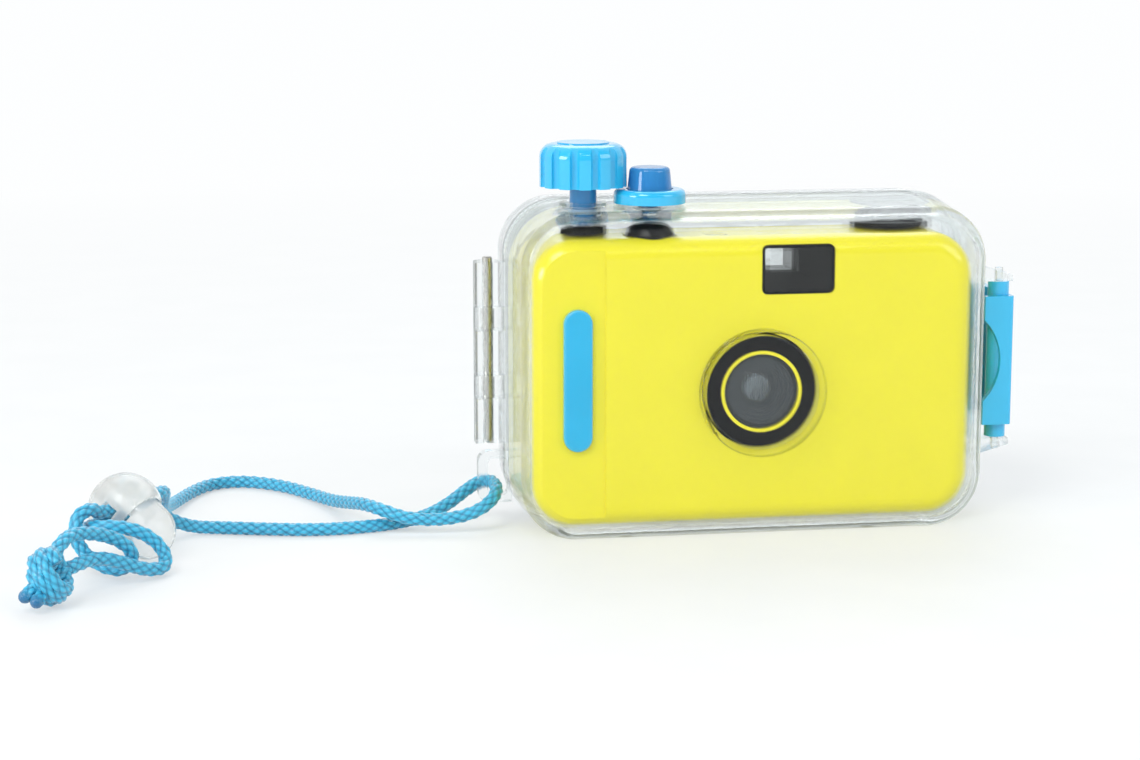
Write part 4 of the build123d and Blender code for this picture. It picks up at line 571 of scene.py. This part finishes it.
# White table that runs into a white background: its glow's share near and far, and the distances for the two
TABLE_CORNERS = [(-4, -3, 0), (4, -3, 0), (4, 6, 0), (-4, 6, 0)]
TABLE_DARK = (0.80, 0.82, 0.82)
TABLE_LIGHT = (0.83, 0.845, 0.845)
GLOW_NEAR = 0.45
GLOW_FAR = 1.0
NEAR = 0.12
FAR = 0.8
STUDIO_WHITE = (0.985, 0.995, 1.0)


def white_table():
    """Matt white, with a glow that grows with the distance; bounced light doesn't see the glow."""
    made, nodes, links, shader = start_material("white_table")
    shader.inputs["Roughness"].default_value = 0.55
    cloud = ranged(nodes, links, noise(nodes, links, 0.03, 3), 0, 1)
    links.new(mixed(nodes, links, cloud, TABLE_DARK, TABLE_LIGHT), shader.inputs["Base Color"])
    glow = nodes.new("ShaderNodeEmission")
    glow.inputs["Color"].default_value = (*STUDIO_WHITE, 1)
    path = nodes.new("ShaderNodeLightPath").outputs
    seen = calculated(nodes, links, "MAXIMUM", path["Is Camera Ray"], path["Is Transmission Ray"])
    seen = calculated(nodes, links, "MAXIMUM", seen, path["Is Glossy Ray"])
    reach = nodes.new("ShaderNodeVectorMath")
    reach.operation = "LENGTH"
    links.new(position(nodes), reach.inputs[0])
    fade = ranged(nodes, links, reach.outputs["Value"], GLOW_NEAR, GLOW_FAR, NEAR, FAR)
    share = calculated(nodes, links, "MULTIPLY", seen, fade)
    surface = blended(nodes, links, share, shader.outputs["BSDF"], glow.outputs["Emission"])
    links.new(surface, nodes["Material Output"].inputs["Surface"])
    return made


floor_mesh = bpy.data.meshes.new("table")
floor_mesh.from_pydata(TABLE_CORNERS, [], [(0, 1, 2, 3)])
floor = bpy.data.objects.new("table", floor_mesh)
scene.collection.objects.link(floor)
floor_mesh.materials.append(white_table())

# The light all round, and the room that shiny pieces mirror: dark behind the camera and bright behind the
# object, the depths between which it changes, and how much brighter it is through clear plastic
LIGHT_AROUND = 0.55
ROOM_DARK = 0.05
ROOM_BRIGHT = 1.0
DARK_UNTIL = -0.3
BRIGHT_FROM = 0.25
PLASTIC_LIFT = 0.55


def studio_world():
    """A plain world, white to the eye; shiny and clear pieces see the room instead."""
    made = bpy.data.worlds.new("studio")
    made.use_nodes = True
    nodes = made.node_tree.nodes
    links = made.node_tree.links
    around = nodes["Background"]
    around.inputs["Color"].default_value = (0.93, 0.97, 1.0, 1)
    around.inputs["Strength"].default_value = LIGHT_AROUND
    white = nodes.new("ShaderNodeBackground")
    white.inputs["Color"].default_value = (*STUDIO_WHITE, 1)
    white.inputs["Strength"].default_value = 1.0
    direction = nodes.new("ShaderNodeTexCoord")
    parts = nodes.new("ShaderNodeSeparateXYZ")
    links.new(direction.outputs["Generated"], parts.inputs["Vector"])
    path = nodes.new("ShaderNodeLightPath").outputs
    depth = ranged(nodes, links, parts.outputs["Y"], ROOM_DARK, ROOM_BRIGHT, DARK_UNTIL, BRIGHT_FROM)
    lifted = calculated(nodes, links, "MULTIPLY_ADD", path["Is Transmission Ray"], PLASTIC_LIFT, depth)
    room = nodes.new("ShaderNodeBackground")
    room.inputs["Color"].default_value = (0.95, 0.98, 1.0, 1)
    links.new(calculated(nodes, links, "MINIMUM", lifted, 1.0), room.inputs["Strength"])
    bounce = calculated(nodes, links, "MAXIMUM", path["Is Glossy Ray"], path["Is Transmission Ray"])
    shiny = blended(nodes, links, bounce, around.outputs["Background"], room.outputs["Background"])
    eye = blended(nodes, links, path["Is Camera Ray"], shiny, white.outputs["Background"])
    links.new(eye, nodes["World Output"].inputs["Surface"])
    return made


scene.world = studio_world()


def lamp(name, place, aim, size, energy, colour, height=None):
    """A soft lamp that points at a spot on the object, square unless it has a height of its own."""
    data = bpy.data.lights.new(name, "AREA")
    data.shape = "RECTANGLE"
    data.size = size
    data.size_y = height or size
    data.energy = energy
    data.color = colour
    made = bpy.data.objects.new(name, data)
    made.location = place
    way = Vector(aim) - made.location
    made.rotation_euler = way.to_track_quat("-Z", "Y").to_euler()
    scene.collection.objects.link(made)


lamp("key_lamp", (-0.55, -0.75, 0.95), (-0.03, 0, 0.03), 0.5, 6.6, (1.0, 0.985, 0.96))
lamp("side_lamp", (-0.75, -0.35, 0.25), (-0.04, 0, 0.04), 0.28, 2.2, (1.0, 1.0, 1.0))
lamp("edge_strip", (0.22, -0.8, 0.74), (0, 0, 0.06), 1.1, 0.9, (1.0, 1.0, 1.0), 0.03)
lamp("fill_lamp", (0.85, -0.65, 0.5), (0, 0, 0.04), 0.6, 3.5, (0.97, 0.99, 1.0))
lamp("back_lamp", (0.1, 0.7, 0.9), (0, 0, 0.05), 0.7, 4.0, (0.98, 0.99, 1.0))
